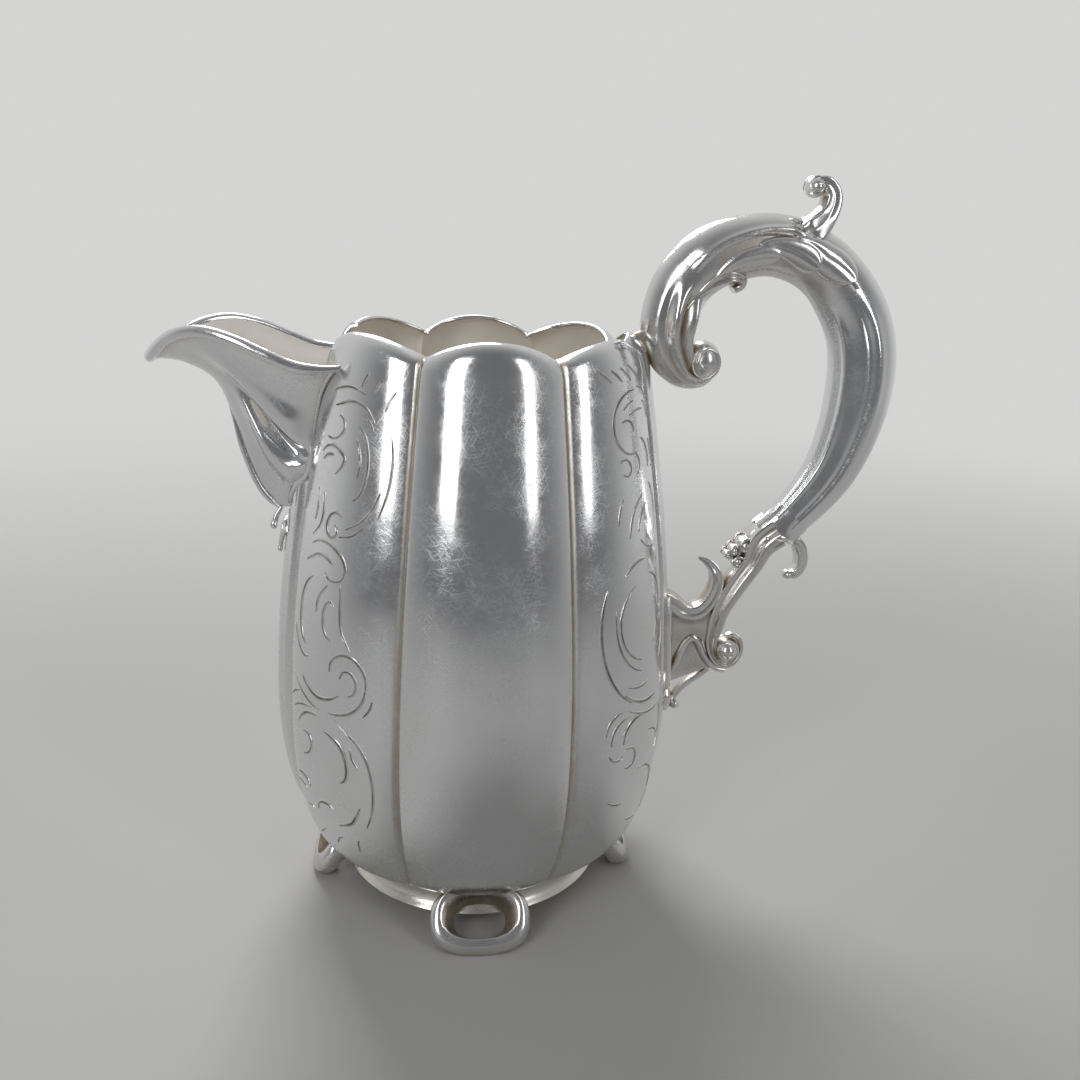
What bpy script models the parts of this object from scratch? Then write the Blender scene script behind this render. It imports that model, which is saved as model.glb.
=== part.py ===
"""Lobed milk jug: two stamped half shells, helmet spout, cast scroll handle and four loop feet.

Lengths are metres, +Z is up, the spout points to -X and the handle to +X. Every piece is drawn about
the upright axis of the body, and one empty carries them all.
"""

import math

import bmesh
import bpy
from mathutils import Matrix, Vector

MM = 0.001

# Fits
SOLDER_GAP = 0.3 * MM  # clear space that a soldered piece keeps to its seat
SEAT_DEPTH = 2.0 * MM  # how far a piece runs into its seat before it is trimmed

# Plated metal of the shells, of the castings and of what lies in the shade
BODY_COLOUR = (0.75, 0.74, 0.71)
BODY_ROUGHNESS = 0.18
CAST_COLOUR = (0.71, 0.69, 0.65)
CAST_ROUGHNESS = 0.26
RECESS_COLOUR = (0.62, 0.54, 0.45)
RECESS_ROUGHNESS = 0.35

# Body: profile of a lobe's crest
BASE_RADIUS = 29.5 * MM
BASE_HEIGHT = 11.2 * MM
BASE_SPREAD = 10.0 * MM
BELLY_RADIUS = 44.5 * MM
BELLY_HEIGHT = 45.0 * MM
BELLY_ROUND = 18.0 * MM
SIDE_RISE = 25.0 * MM
NECK_LEAN = 4.0 * MM
NECK_RISE = 21.0 * MM
SHOULDER_RADIUS = 35.2 * MM
SHOULDER_DROP = 7.5 * MM
SHOULDER_RISE = 4.2 * MM
RIM_INSET = 4.2 * MM
RIM_HEIGHT = 128.5 * MM
WALL = 1.0 * MM

# Body: six wide lobes and two narrow strips
STRIP_HALF_ANGLE = math.radians(12)
FRONT_HALF_ANGLE = math.radians(25)
STRIP_RISE = 1.1 * MM
GROOVE_DEPTH = 2.5 * MM
LOBE_POWER = 2.4
RIM_NOTCH = 3.7 * MM
LOBE_STEPS = 7
STRIP_STEPS = 3
BELLY_STEPS = 7
SIDE_STEPS = 6
SHOULDER_STEPS = 5
BELLY_SHARE = 0.3  # share of the profile's run up to the belly
SIDE_SHARE = 0.85  # and up to the shoulder

# Base
DISC_THICK = 1.0 * MM
DISC_DOME = 1.5 * MM
DISC_RING = 0.5  # share of the radius at which the dome has risen most of its way
DISC_RING_DOME = 0.75
COLLAR_DROP = 4.6 * MM
COLLAR_LEDGE = 0.7 * MM  # how far the collar's top stands out past the base
COLLAR_WAIST_INSET = 0.9 * MM
COLLAR_LIP_INSET = 0.3 * MM
COLLAR_WALL = 1.8 * MM
COLLAR_SEAT_WALL = 10.8 * MM  # depth of the cutter that fits the feet to the collar
TURN_STEPS = 48

# Loop feet: oval rings that lean back against the collar
FOOT_LEAN = math.radians(35)
FOOT_OUT = 8.5 * MM
FOOT_HALF_WIDTH = 10.9 * MM
FOOT_HEAD = 0.52 * MM
FOOT_SINK = 0.4 * MM
FOOT_OVAL = 2.5
FOOT_RIDGE_INSET = 2.1 * MM
FOOT_RIDGE_LIFT = 2.2 * MM
FOOT_HOLE_HALF_WIDTH = 5.6 * MM
FOOT_HOLE_HALF_HEIGHT = 3.5 * MM
FOOT_HOLE_RISE = 6.9 * MM
FOOT_BACK = 3.0 * MM
FOOT_STEPS = 24
FOOT_ROUND_STEPS = 4

# Spout: keel points as shares of its reach out from the body and of its rise above the root
SPOUT_ROOT_DROP = 41.5 * MM
SPOUT_REACH = 27.2 * MM
SPOUT_RISE = 33.3 * MM
SPOUT_KEEL = [
    (-0.074, 0.0),
    (0.228, 0.165),
    (0.346, 0.39),
    (0.434, 0.646),
    (0.555, 0.871),
    (0.772, 0.976),
    (1.0, 1.0),
]
SPOUT_HALF_ANGLE = math.radians(36)
SPOUT_WAIST_SHARE = 0.53  # width of the waist against the mouth
SPOUT_WAIST_AT = 0.5  # share of the height where the waist is reached
SPOUT_FLARE_AT = 0.55  # share of the height where the mouth starts to flare
SPOUT_TOP_DROP = 6.5 * MM
SPOUT_FULLNESS = 7.6 * MM
SPOUT_CHEEK = 0.55  # below 1 brings the fullest place towards the keel
SPOUT_ARCH = 6.0 * MM
SPOUT_ARCH_SPAN = 0.8
SPOUT_ARCH_LEAN = 0.75
SPOUT_ARCH_FADE = 4
SPOUT_WALL = 1.2 * MM
SPOUT_OUTER_START = 0.06
SPOUT_INNER_START = 0.3
SPOUT_ROWS = 12
SPOUT_COLUMNS = 11
SPOUT_CROWDING = 1.3  # above 1 sets the columns closer at the keel
EDGE_WIRE_RADIUS = 0.9 * MM
EDGE_WIRE_BELOW = 0.05
EDGE_WIRE_STEPS = 36
EDGE_WIRE_SIDES = 8
DROP_RADIUS = 2.2 * MM
DROP_LENGTH = 5.2 * MM
DROP_GAP = 1.0 * MM
DROP_TAPER = 0.35

# Pouring notch in the body behind the spout
POUR_MOUTH_LEDGE = 5.4 * MM  # body left inside the spout's joint at the rim
POUR_LEDGE = 1.5 * MM  # body left inside the joint at the spout's waist
POUR_STRAIGHT = 14.0 * MM
POUR_DEPTH = 27.0 * MM
POUR_STEPS = 6

# Handle: middle line as shares of its reach out from the upper seat, of its drop below the rim, and of
# its greatest width
UPPER_SEAT_DROP = 4.5 * MM
HANDLE_REACH = 50.1 * MM
HANDLE_DROP = 47.9 * MM
HANDLE_WIDTH = 15.8 * MM
HANDLE_LINE = [
    (0.331, -0.146, 0.165),
    (0.267, -0.203, 0.241),
    (0.178, -0.159, 0.443),
    (0.116, 0.0, 0.696),
    (0.156, 0.209, 0.81),
    (0.311, 0.344, 0.835),
    (0.551, 0.39, 0.797),
    (0.786, 0.296, 0.861),
    (0.958, 0.052, 0.987),
    (1.0, -0.251, 1.0),
    (0.926, -0.599, 0.835),
    (0.754, -0.858, 0.646),
    (0.591, -1.0, 0.557),
]
HANDLE_DEPTH_RATIO = 0.8
HANDLE_RIDGE = 1.2
HANDLE_SIDES = 14
MOUNT_END = 0.415  # shares of the handle's line
UPPER_SLEEVE_END = 0.64
UPPER_TIP_AT = 0.57
UPPER_TIP_LENGTH = 6.5 * MM
GRIP_UNDER_LEAF = 0.03
LOWER_SLEEVE_SHARE = 0.07
MOUNT_STEPS = 20
SLEEVE_STEPS = 12
GRIP_STEPS = 20
LOWER_SLEEVE_STEPS = 6
SLEEVE_SWELL = 0.55 * MM
SLEEVE_FLUTE = 0.35 * MM
VOLUTE_EYE = (0.279, -0.134)
VOLUTE_EYE_RADIUS = 2.7 * MM
LUG_LINE = [(0.14, 0.025, 0.506), (0.06, -0.019, 0.456), (-0.052, -0.075, 0.38)]
LUG_DEPTH_RATIO = 1.2
LUG_STEPS = 3
TIP_REACH = 2  # half widths that the leaf point's cutter runs out to each side
TIP_BACK = 6  # half widths that it runs back along the leaf
TIP_DEPTH = 22.0 * MM

# Small scrolls on the handle, in the same terms as its middle line
THUMB_LINE = [
    (0.663, 0.449, 0.443),
    (0.747, 0.53, 0.291),
    (0.782, 0.614, 0.215),
    (0.75, 0.672, 0.177),
    (0.703, 0.66, 0.152),
]
THUMB_BALL = (0.697, 0.647)
THUMB_BALL_RADIUS = 2.2 * MM
LEAF_LINE = [
    (0.269, 0.221, 0.253),
    (0.359, 0.259, 0.278),
    (0.439, 0.242, 0.241),
    (0.457, 0.188, 0.177),
    (0.415, 0.163, 0.127),
]
SCROLL_DEPTH_RATIO = 1.5
SCROLL_STEPS = 14
SCROLL_SIDES = 10
SCROLL_SEAT_START = 0.2  # share of the handle's line where the seat of the small scrolls starts
SCROLL_SEAT_PAST = 0.02
SCROLL_SEAT_STEPS = 24
BALL_SEGMENTS = 12
BALL_RINGS = 8

# Hook of the lower leaf, in the same terms, but from the end of the handle's line
HOOK_LINE = [
    (0.09, 0.029, 0.291),
    (0.17, -0.029, 0.215),
    (0.194, -0.1, 0.165),
    (0.158, -0.15, 0.139),
    (0.122, -0.125, 0.114),
]
HOOK_STEPS = 12
LOWER_SLEEVE_FLARE = 1.1 * MM

# Lower bracket: lines as shares of the way out from the lower seat to the end of the handle's line, of
# the way up to it, and of the strap's greatest width
LOWER_SEAT_HEIGHT = 60.0 * MM
BRACKET_WIDTH = 7.6 * MM
BRACKET_LINE = [
    (0.705, 0.621, 1.0),
    (0.526, 0.223, 0.868),
    (0.492, -0.126, 0.711),
    (0.596, -0.379, 0.553),
    (0.804, -0.403, 0.474),
    (0.874, -0.243, 0.395),
]
BRACKET_EYE = (0.725, -0.223)
BRACKET_EYE_RADIUS = 2.5 * MM
WING_LINE = [
    (0.407, 0.932, 0.211),
    (0.467, 0.66, 0.474),
    (0.417, 0.398, 0.579),
    (0.228, 0.262, 0.579),
    (-0.1, 0.311, 0.789),
]
ARCH_LINE = [
    (0.497, -0.194, 0.421),
    (0.377, -0.049, 0.474),
    (0.258, -0.107, 0.447),
    (0.179, -0.33, 0.447),
    (-0.1, -0.437, 0.658),
]
BRACKET_DEPTH_RATIO = 1.15
BRACKET_STEPS = 22
BRANCH_STEPS = 9

# Wall plate with its tail under the bracket
PLATE_THICK = 1.2 * MM
PLATE_EDGE_THICK = 0.7 * MM
PLATE_TOP = 8.5 * MM
PLATE_BOTTOM = 21.5 * MM
PLATE_HALF_WIDTH = 5.0 * MM
PLATE_TAIL_HALF_WIDTH = 1.4 * MM
PLATE_SWELL_START = 0.3
PLATE_DROP_RADIUS = 1.2 * MM
PLATE_DROP_SHARE = 0.2
PLATE_ROWS = 15
PLATE_COLUMNS = 6


def clear_scene():
    """Remove every object of the startup scene."""
    for obj in list(bpy.data.objects):
        bpy.data.objects.remove(obj, do_unlink=True)


def smooth(share):
    """Ease from 0 to 1 with level ends."""
    share = min(max(share, 0.0), 1.0)
    return share * share * (3 - 2 * share)


def bezier(p0, p1, p2, p3, t):
    """Point of a cubic curve in the radius and height plane."""
    return p0 * (1 - t) ** 3 + p1 * (3 * t * (1 - t) ** 2) + p2 * (3 * t * t * (1 - t)) + p3 * t**3


def scaled(points, *sizes):
    """Points given in shares, as lengths."""
    return [tuple(share * size for share, size in zip(point, sizes)) for point in points]


def through(points, t):
    """Value at t of a smooth curve through the points, t from 0 to 1."""
    last = len(points) - 1
    place = min(max(t, 0.0), 1.0) * last
    i = min(int(place), last - 1)
    f = place - i
    a, b = Vector(points[i]), Vector(points[i + 1])
    before = Vector(points[i - 1]) if i else a * 2 - b
    after = Vector(points[i + 2]) if i + 2 <= last else b * 2 - a
    start, end = (b - before) / 2, (after - a) / 2
    cubic = a * (2 * f**3 - 3 * f**2 + 1) + b * (3 * f**2 - 2 * f**3)
    return cubic + start * (f**3 - 2 * f**2 + f) + end * (f**3 - f**2)


def crest(t):
    """Radius and height of a lobe's crest, t from 0 at the base to 1 at the rim."""
    base = Vector((BASE_RADIUS, BASE_HEIGHT))
    belly = Vector((BELLY_RADIUS, BELLY_HEIGHT))
    shoulder = Vector((SHOULDER_RADIUS, RIM_HEIGHT - SHOULDER_DROP))
    rim = Vector((SHOULDER_RADIUS - RIM_INSET, RIM_HEIGHT))
    neck = Vector((-NECK_LEAN, NECK_RISE))
    if t < BELLY_SHARE:
        floor = base + Vector((BASE_SPREAD, 0))
        return bezier(base, floor, belly - Vector((0, BELLY_ROUND)), belly, t / BELLY_SHARE)
    if t < SIDE_SHARE:
        share = (t - BELLY_SHARE) / (SIDE_SHARE - BELLY_SHARE)
        return bezier(belly, belly + Vector((0, SIDE_RISE)), shoulder - neck, shoulder, share)
    turn = neck * (SHOULDER_RISE / NECK_RISE)
    level = Vector((RIM_INSET / 2, 0))
    return bezier(shoulder, shoulder + turn, rim + level, rim, (t - SIDE_SHARE) / (1 - SIDE_SHARE))


def crest_share(height):
    """The t at which a lobe's crest reaches a height."""
    low, high = 0.0, 1.0
    for _ in range(40):
        middle = (low + high) / 2
        if crest(middle).y < height:
            low = middle
        else:
            high = middle
    return low


def crest_radius(height):
    """Radius of a lobe's crest at a height."""
    return crest(crest_share(height)).x


def lobe_place(angle):
    """How far an angle lies from the middle of its lobe: 0 on the crest, 1 on the seam."""
    from_axis = abs((angle + math.pi) % (2 * math.pi) - math.pi)
    from_front = abs(from_axis - math.pi / 2)
    strip_edge = math.pi / 2 - STRIP_HALF_ANGLE
    if from_front >= strip_edge:
        return (math.pi / 2 - from_front) / STRIP_HALF_ANGLE
    if from_front <= FRONT_HALF_ANGLE:
        return from_front / FRONT_HALF_ANGLE
    half = (strip_edge - FRONT_HALF_ANGLE) / 2
    return abs(from_front - FRONT_HALF_ANGLE - half) / half


def on_strip(angle):
    """Whether an angle lies on one of the narrow strips under the spout and the handle."""
    return abs(math.sin(angle)) < math.sin(STRIP_HALF_ANGLE)


def body_point(angle, t, offset=0.0):
    """Point of the lobed surface, moved out along its profile's normal by the offset."""
    step = 0.002
    along = crest(min(t + step, 1.0)) - crest(max(t - step, 0.0))
    out = Vector((along.y, -along.x)).normalized()
    radius, height = crest(t) + out * offset
    place = lobe_place(angle)
    fade = smooth(t / (BELLY_SHARE / 2))
    over_shoulder = smooth((t - SIDE_SHARE) / (1 - SIDE_SHARE))
    radius -= GROOVE_DEPTH * fade * place**LOBE_POWER
    if on_strip(angle):
        radius += STRIP_RISE * fade * (1 - over_shoulder) * (1 - place**2)
    height -= RIM_NOTCH * over_shoulder * place**2
    return Vector((radius * math.cos(angle), radius * math.sin(angle), height))


def spread(start, end, steps):
    """Even values from start towards end, without the end."""
    return [start + (end - start) * i / steps for i in range(steps)]


def half_angles():
    """Angles of half the body, from the handle to the spout, with every seam among them."""
    seams = [0.0, STRIP_HALF_ANGLE, math.pi / 2 - FRONT_HALF_ANGLE]
    seams += [math.pi - seam for seam in reversed(seams)]
    counts = [STRIP_STEPS, LOBE_STEPS, LOBE_STEPS, LOBE_STEPS, STRIP_STEPS]
    angles = []
    for start, end, count in zip(seams, seams[1:], counts):
        angles += spread(start, end, count)
    return angles + [math.pi]


def crest_steps():
    """Values of t for the rows of the body, closer at the shoulder."""
    steps = spread(0.0, BELLY_SHARE, BELLY_STEPS)
    steps += spread(BELLY_SHARE, SIDE_SHARE, SIDE_STEPS)
    return steps + spread(SIDE_SHARE, 1.0, SHOULDER_STEPS) + [1.0]


def skin(bm, rows, around=False, across=False):
    """Faces between neighbouring rows of vertices; around closes each row, across joins last to first."""
    pairs = list(zip(rows, rows[1:]))
    if across:
        pairs.append((rows[-1], rows[0]))
    for low, high in pairs:
        count = len(low) if around else len(low) - 1
        for i in range(count):
            j = (i + 1) % len(low)
            bm.faces.new((low[i], low[j], high[j], high[i]))


def rows_of(bm, grid):
    """Vertices at a grid of points."""
    return [[bm.verts.new(point) for point in row] for row in grid]


def capped(bm, grid):
    """Skin over a stack of closed loops, with a face on each end."""
    rows = rows_of(bm, grid)
    skin(bm, rows, around=True)
    bm.faces.new(rows[0])
    bm.faces.new(rows[-1])


def piece(name, bm, helper=False):
    """Object from a bmesh; a helper is a hidden cutter or a shape that another piece takes in."""
    bmesh.ops.recalc_face_normals(bm, faces=bm.faces)
    for face in bm.faces:
        face.smooth = True
    mesh = bpy.data.meshes.new(name)
    bm.to_mesh(mesh)
    bm.free()
    obj = bpy.data.objects.new(name, mesh)
    bpy.context.collection.objects.link(obj)
    obj.parent = jug
    if helper:
        obj.hide_render = True
        obj.hide_set(True)
        obj.display_type = "WIRE"
    return obj


def combine(obj, other, operation):
    """Exact Boolean of one piece with a helper."""
    boolean = obj.modifiers.new(f"{operation.lower()} {other.name}", "BOOLEAN")
    boolean.operation = operation
    boolean.solver = "EXACT"
    boolean.use_self = True
    boolean.object = other


def finish(obj, colour, roughness):
    """Give a piece its own plated metal."""
    material = bpy.data.materials.new(obj.name)
    material.use_nodes = True
    shader = material.node_tree.nodes["Principled BSDF"]
    shader.inputs["Base Color"].default_value = (*colour, 1.0)
    shader.inputs["Roughness"].default_value = roughness
    shader.inputs["Metallic"].default_value = 1.0
    obj.data.materials.append(material)
    finished.append(obj)


def half_shell(name, side):
    """Half of the body; side is -1 for the front and 1 for the back."""
    bm = bmesh.new()
    grid = []
    for angle in half_angles():
        outer = [body_point(side * angle, t) for t in crest_steps()]
        inner = [body_point(side * angle, t, -WALL) for t in reversed(crest_steps())]
        loop = outer + inner
        if angle in (0.0, math.pi):
            for point in loop:
                point.y = side * SOLDER_GAP / 2
        grid.append(loop)
    capped(bm, grid)
    return piece(name, bm)


def envelope(name, offset):
    """Solid with the outside of the whole body, larger by the offset, for trimming what sits on it."""
    bm = bmesh.new()
    angles = half_angles()[:-1]
    angles += [angle + math.pi for angle in angles]
    capped(bm, [[body_point(angle, t, offset) for angle in angles] for t in crest_steps()])
    return piece(name, bm, helper=True)


def turned(name, outline, closed, helper=False):
    """Piece turned about the upright axis from an outline of radius and height."""
    bm = bmesh.new()
    verts = [bm.verts.new((radius, 0, height)) for radius, height in outline]
    edges = [bm.edges.new(pair) for pair in zip(verts, verts[1:])]
    if closed:
        edges.append(bm.edges.new((verts[-1], verts[0])))
    round_trip = {"cent": (0, 0, 0), "axis": (0, 0, 1), "angle": 2 * math.pi, "steps": TURN_STEPS}
    bmesh.ops.spin(bm, geom=verts + edges, use_merge=True, **round_trip)
    bmesh.ops.remove_doubles(bm, verts=bm.verts, dist=SOLDER_GAP / 100)
    return piece(name, bm, helper)


def extruded(name, outline, axis, depth):
    """Helper: an outline in the plane across an axis, run to the depth on both sides."""
    bm = bmesh.new()
    verts = [bm.verts.new(point - axis * depth) for point in outline]
    face = bm.faces.new(verts)
    made = bmesh.ops.extrude_face_region(bm, geom=[face])
    moved = [item for item in made["geom"] if isinstance(item, bmesh.types.BMVert)]
    bmesh.ops.translate(bm, verts=moved, vec=axis * (2 * depth))
    return piece(name, bm, helper=True)


def base_disc():
    """Plate that closes the bottom, domed up a little in the middle."""
    radius = BASE_RADIUS - 2 * SOLDER_GAP
    dome = [(0, DISC_DOME), (radius * DISC_RING, DISC_DOME * DISC_RING_DOME), (radius, 0)]
    top = [(out, BASE_HEIGHT + DISC_THICK + rise) for out, rise in dome]
    bottom = [(out, BASE_HEIGHT + rise) for out, rise in reversed(dome)]
    return turned("base_disc", top + bottom, closed=False)


def collar_outline(offset, wall):
    """Waisted skirt under the body, its outside moved out by the offset."""
    top = BASE_HEIGHT - SOLDER_GAP + offset
    low = BASE_HEIGHT - COLLAR_DROP - offset
    edge = BASE_RADIUS + COLLAR_LEDGE
    waist = BASE_RADIUS - COLLAR_WAIST_INSET
    lip = BASE_RADIUS - COLLAR_LIP_INSET
    line = [(edge, top), (waist, (top + low) / 2), (lip, low)]
    outer = [(radius + offset, height) for radius, height in line]
    return outer + [(radius - wall, height) for radius, height in reversed(line)]


def oval(half_width, half_height, rise, lift):
    """Rounded oval loop in the leaning plane of a foot; lift is the distance along the ring's axis."""
    up = Vector((0, math.sin(FOOT_LEAN), math.cos(FOOT_LEAN)))
    out = Vector((0, -math.cos(FOOT_LEAN), math.sin(FOOT_LEAN)))
    base = Vector((0, -BASE_RADIUS - FOOT_OUT, -FOOT_SINK))
    loop = []
    for i in range(FOOT_STEPS):
        swing = 2 * math.pi * i / FOOT_STEPS
        c, s = math.cos(swing), math.sin(swing)
        across = half_width * math.copysign(abs(c) ** (2 / FOOT_OVAL), c)
        along = rise + half_height * math.copysign(abs(s) ** (2 / FOOT_OVAL), s)
        loop.append(base + Vector((across, 0, 0)) + up * along + out * lift)
    return loop


def foot_mesh():
    """Ring with a rounded outside, a raised front edge and a funnel down to its hole, cut flat below."""
    middle = (BASE_HEIGHT + FOOT_HEAD + FOOT_SINK) / math.cos(FOOT_LEAN) / 2
    ridge_width = FOOT_HALF_WIDTH - FOOT_RIDGE_INSET
    ridge_low = FOOT_HOLE_RISE - FOOT_HOLE_HALF_HEIGHT
    ridge_half = middle - ridge_low / 2
    ridge_middle = ridge_low + ridge_half
    loops = []
    for i in range(FOOT_ROUND_STEPS):
        swing = math.pi / 2 * i / FOOT_ROUND_STEPS
        share = 1 - math.cos(swing)
        half_width = FOOT_HALF_WIDTH - FOOT_RIDGE_INSET * share
        half_height = middle + (ridge_half - middle) * share
        rise = middle + (ridge_middle - middle) * share
        loops.append(oval(half_width, half_height, rise, FOOT_RIDGE_LIFT * math.sin(swing)))
    loops.append(oval(ridge_width, ridge_half, ridge_middle, FOOT_RIDGE_LIFT))
    loops.append(oval(FOOT_HOLE_HALF_WIDTH, FOOT_HOLE_HALF_HEIGHT, FOOT_HOLE_RISE, -FOOT_RIDGE_LIFT))
    loops.append(oval(ridge_width, middle - FOOT_RIDGE_INSET, middle, -FOOT_BACK))
    bm = bmesh.new()
    skin(bm, rows_of(bm, loops), around=True, across=True)
    floor = {"plane_co": (0, 0, 0), "plane_no": (0, 0, 1)}
    everything = bm.verts[:] + bm.edges[:] + bm.faces[:]
    cut = bmesh.ops.bisect_plane(bm, geom=everything, clear_inner=True, **floor)
    edges = [item for item in cut["geom_cut"] if isinstance(item, bmesh.types.BMEdge)]
    bmesh.ops.contextual_create(bm, geom=edges)
    return bm


def joint_angle(v):
    """Half angle that the spout's joint takes up on the body: narrow at the waist, wide at the mouth."""
    waist = SPOUT_WAIST_SHARE * smooth(v / SPOUT_WAIST_AT)
    flare = max(0, (v - SPOUT_FLARE_AT) / (1 - SPOUT_FLARE_AT)) ** 2
    return SPOUT_HALF_ANGLE * (waist + (1 - SPOUT_WAIST_SHARE) * flare)


def joint_seat(v):
    """Radius and height of the spout's joint on the body."""
    height = RIM_HEIGHT - SPOUT_ROOT_DROP + (SPOUT_ROOT_DROP - SPOUT_TOP_DROP) * v
    return crest_radius(height) - SEAT_DEPTH, height


def spout_point(u, v, inset):
    """Point of the spout: u from 0 on the keel to 1 on the body, either side; v from its foot to its edge."""
    side = abs(u)
    root = RIM_HEIGHT - SPOUT_ROOT_DROP
    step = 0.01
    line = scaled(SPOUT_KEEL, SPOUT_REACH, SPOUT_RISE)
    here = through(line, v)
    run = (through(line, min(v + step, 1)) - through(line, max(v - step, 0))).normalized()
    out = crest_radius(root) + here.x - run.y * inset
    keel = Vector((-out, 0, root + here.y + run.x * inset))
    radius, height = joint_seat(v)
    angle = joint_angle(v) - inset / radius
    point = keel.lerp(Vector((-radius * math.cos(angle), radius * math.sin(angle), height)), side)
    point.y += SPOUT_FULLNESS * math.sin(math.pi * side**SPOUT_CHEEK) * v**2
    arch = math.sin(math.pi * min(side / SPOUT_ARCH_SPAN, 1) ** SPOUT_ARCH_LEAN)
    point.z += SPOUT_ARCH * arch * v**SPOUT_ARCH_FADE
    point.y = math.copysign(point.y, u)
    return point


def spout_columns(count):
    """Values of u from one side of the spout to the other, closer at the keel."""
    even = [column / count for column in range(-count, count + 1)]
    return [math.copysign(abs(u) ** SPOUT_CROWDING, u) for u in even]


def spout_grid(inset, start):
    """Rows of the spout's skin from its foot to its edge."""
    steps = [start + (1 - start) * row / SPOUT_ROWS for row in range(SPOUT_ROWS + 1)]
    return [[spout_point(u, v, inset) for u in spout_columns(SPOUT_COLUMNS)] for v in steps]


def spout():
    """Helmet spout: outer and inner skins joined along the edge and the seat."""
    bm = bmesh.new()
    outer = rows_of(bm, spout_grid(0.0, SPOUT_OUTER_START))
    inner = rows_of(bm, spout_grid(SPOUT_WALL, SPOUT_INNER_START))
    skin(bm, outer)
    skin(bm, inner)
    skin(bm, [outer[-1], inner[-1]])
    skin(bm, [outer[0], inner[0]])
    for end in (0, -1):
        skin(bm, [[row[end] for row in outer], [row[end] for row in inner]])
    return piece("spout", bm)


def edge_wire():
    """Round wire that lies on the edge of the spout from one side of the mouth to the other."""
    line = []
    for u in spout_columns(EDGE_WIRE_STEPS // 2):
        edge = (spout_point(u, 1, 0) + spout_point(u, 1, SPOUT_WALL)) / 2
        v = 1 - EDGE_WIRE_BELOW
        below = (spout_point(u, v, 0) + spout_point(u, v, SPOUT_WALL)) / 2
        line.append(edge + (edge - below).normalized() * (2 * SOLDER_GAP + EDGE_WIRE_RADIUS))
    grid = []
    for i, centre in enumerate(line):
        run = (line[min(i + 1, len(line) - 1)] - line[max(i - 1, 0)]).normalized()
        first = run.cross(Vector((0, 0, 1))).normalized()
        second = run.cross(first)
        ring = []
        for k in range(EDGE_WIRE_SIDES):
            swing = 2 * math.pi * k / EDGE_WIRE_SIDES
            ring.append(centre + (first * math.cos(swing) + second * math.sin(swing)) * EDGE_WIRE_RADIUS)
        grid.append(ring)
    bm = bmesh.new()
    capped(bm, grid)
    return piece("spout_edge_wire", bm)


def spout_drop():
    """Pendant drop on the strip below the spout, wider at its lower end."""
    bm = bmesh.new()
    height = RIM_HEIGHT - SPOUT_ROOT_DROP - DROP_LENGTH / 2 - DROP_GAP
    bmesh.ops.create_uvsphere(bm, u_segments=BALL_SEGMENTS, v_segments=BALL_RINGS, radius=1.0)
    for vert in bm.verts:
        across = DROP_RADIUS * (1 - DROP_TAPER * vert.co.z)
        vert.co = Vector((vert.co.x * across, vert.co.y * across, vert.co.z * DROP_LENGTH / 2))
        vert.co += Vector((-crest_radius(height) - STRIP_RISE, 0, height))
    return piece("spout_drop", bm)


def pour_notch():
    """Helper: the notch cut into the body behind the spout, narrowing to a throat with a round end."""
    mouth_radius, _ = joint_seat(1.0)
    throat_radius = crest_radius(RIM_HEIGHT - POUR_STRAIGHT) - SEAT_DEPTH
    mouth = mouth_radius * math.sin(joint_angle(1.0)) - POUR_MOUTH_LEDGE
    throat = throat_radius * math.sin(SPOUT_HALF_ANGLE * SPOUT_WAIST_SHARE) - POUR_LEDGE
    half = [(mouth, RIM_HEIGHT + POUR_STRAIGHT), (mouth, RIM_HEIGHT)]
    for i in range(POUR_STEPS + 1):
        swing = math.pi / 2 * i / POUR_STEPS
        drop = POUR_STRAIGHT + (POUR_DEPTH - POUR_STRAIGHT) * math.sin(swing)
        half.append((throat * math.cos(swing), RIM_HEIGHT - drop))
    outline = [Vector((-SHOULDER_RADIUS, y, z)) for y, z in half]
    outline += [Vector((-SHOULDER_RADIUS, -y, z)) for y, z in reversed(half[:-1])]
    return extruded("pour_notch", outline, Vector((1, 0, 0)), SHOULDER_RADIUS / 2)


def upper_seat():
    """Point on the body that the handle's measures start from."""
    return Vector((crest_radius(RIM_HEIGHT - UPPER_SEAT_DROP), RIM_HEIGHT))


def lower_seat():
    """Point on the body that the lower bracket's measures start from."""
    return Vector((crest_radius(LOWER_SEAT_HEIGHT), LOWER_SEAT_HEIGHT))


def on_handle(shares):
    """Lengths of a line that is given in shares of the handle's reach, drop and width."""
    return scaled(shares, HANDLE_REACH, HANDLE_DROP, HANDLE_WIDTH)


def handle_end():
    """Point where the handle's own line ends, below the grip."""
    out, up, _ = on_handle(HANDLE_LINE)[-1]
    return upper_seat() + Vector((out, up))


def on_bracket(shares):
    """Lengths of a line that is given in shares of the way from the lower seat to the handle's end."""
    way = handle_end() - lower_seat()
    return scaled(shares, way.x, way.y, BRACKET_WIDTH)


def station(line, seat, t):
    """Middle, side direction and half width of a bar at the share t of its line."""
    step = 0.004
    out, up, width = through(line, t)
    run = (through(line, min(t + step, 1)) - through(line, max(t - step, 0))).xy.normalized()
    return Vector((seat.x + out, 0, seat.y + up)), Vector((-run.y, 0, run.x)), width / 2


def stations(line, seat, steps, start=0.0, end=1.0):
    """Even places along a line between two shares of it."""
    return [station(line, seat, start + (end - start) * i / steps) for i in range(steps + 1)]


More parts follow.
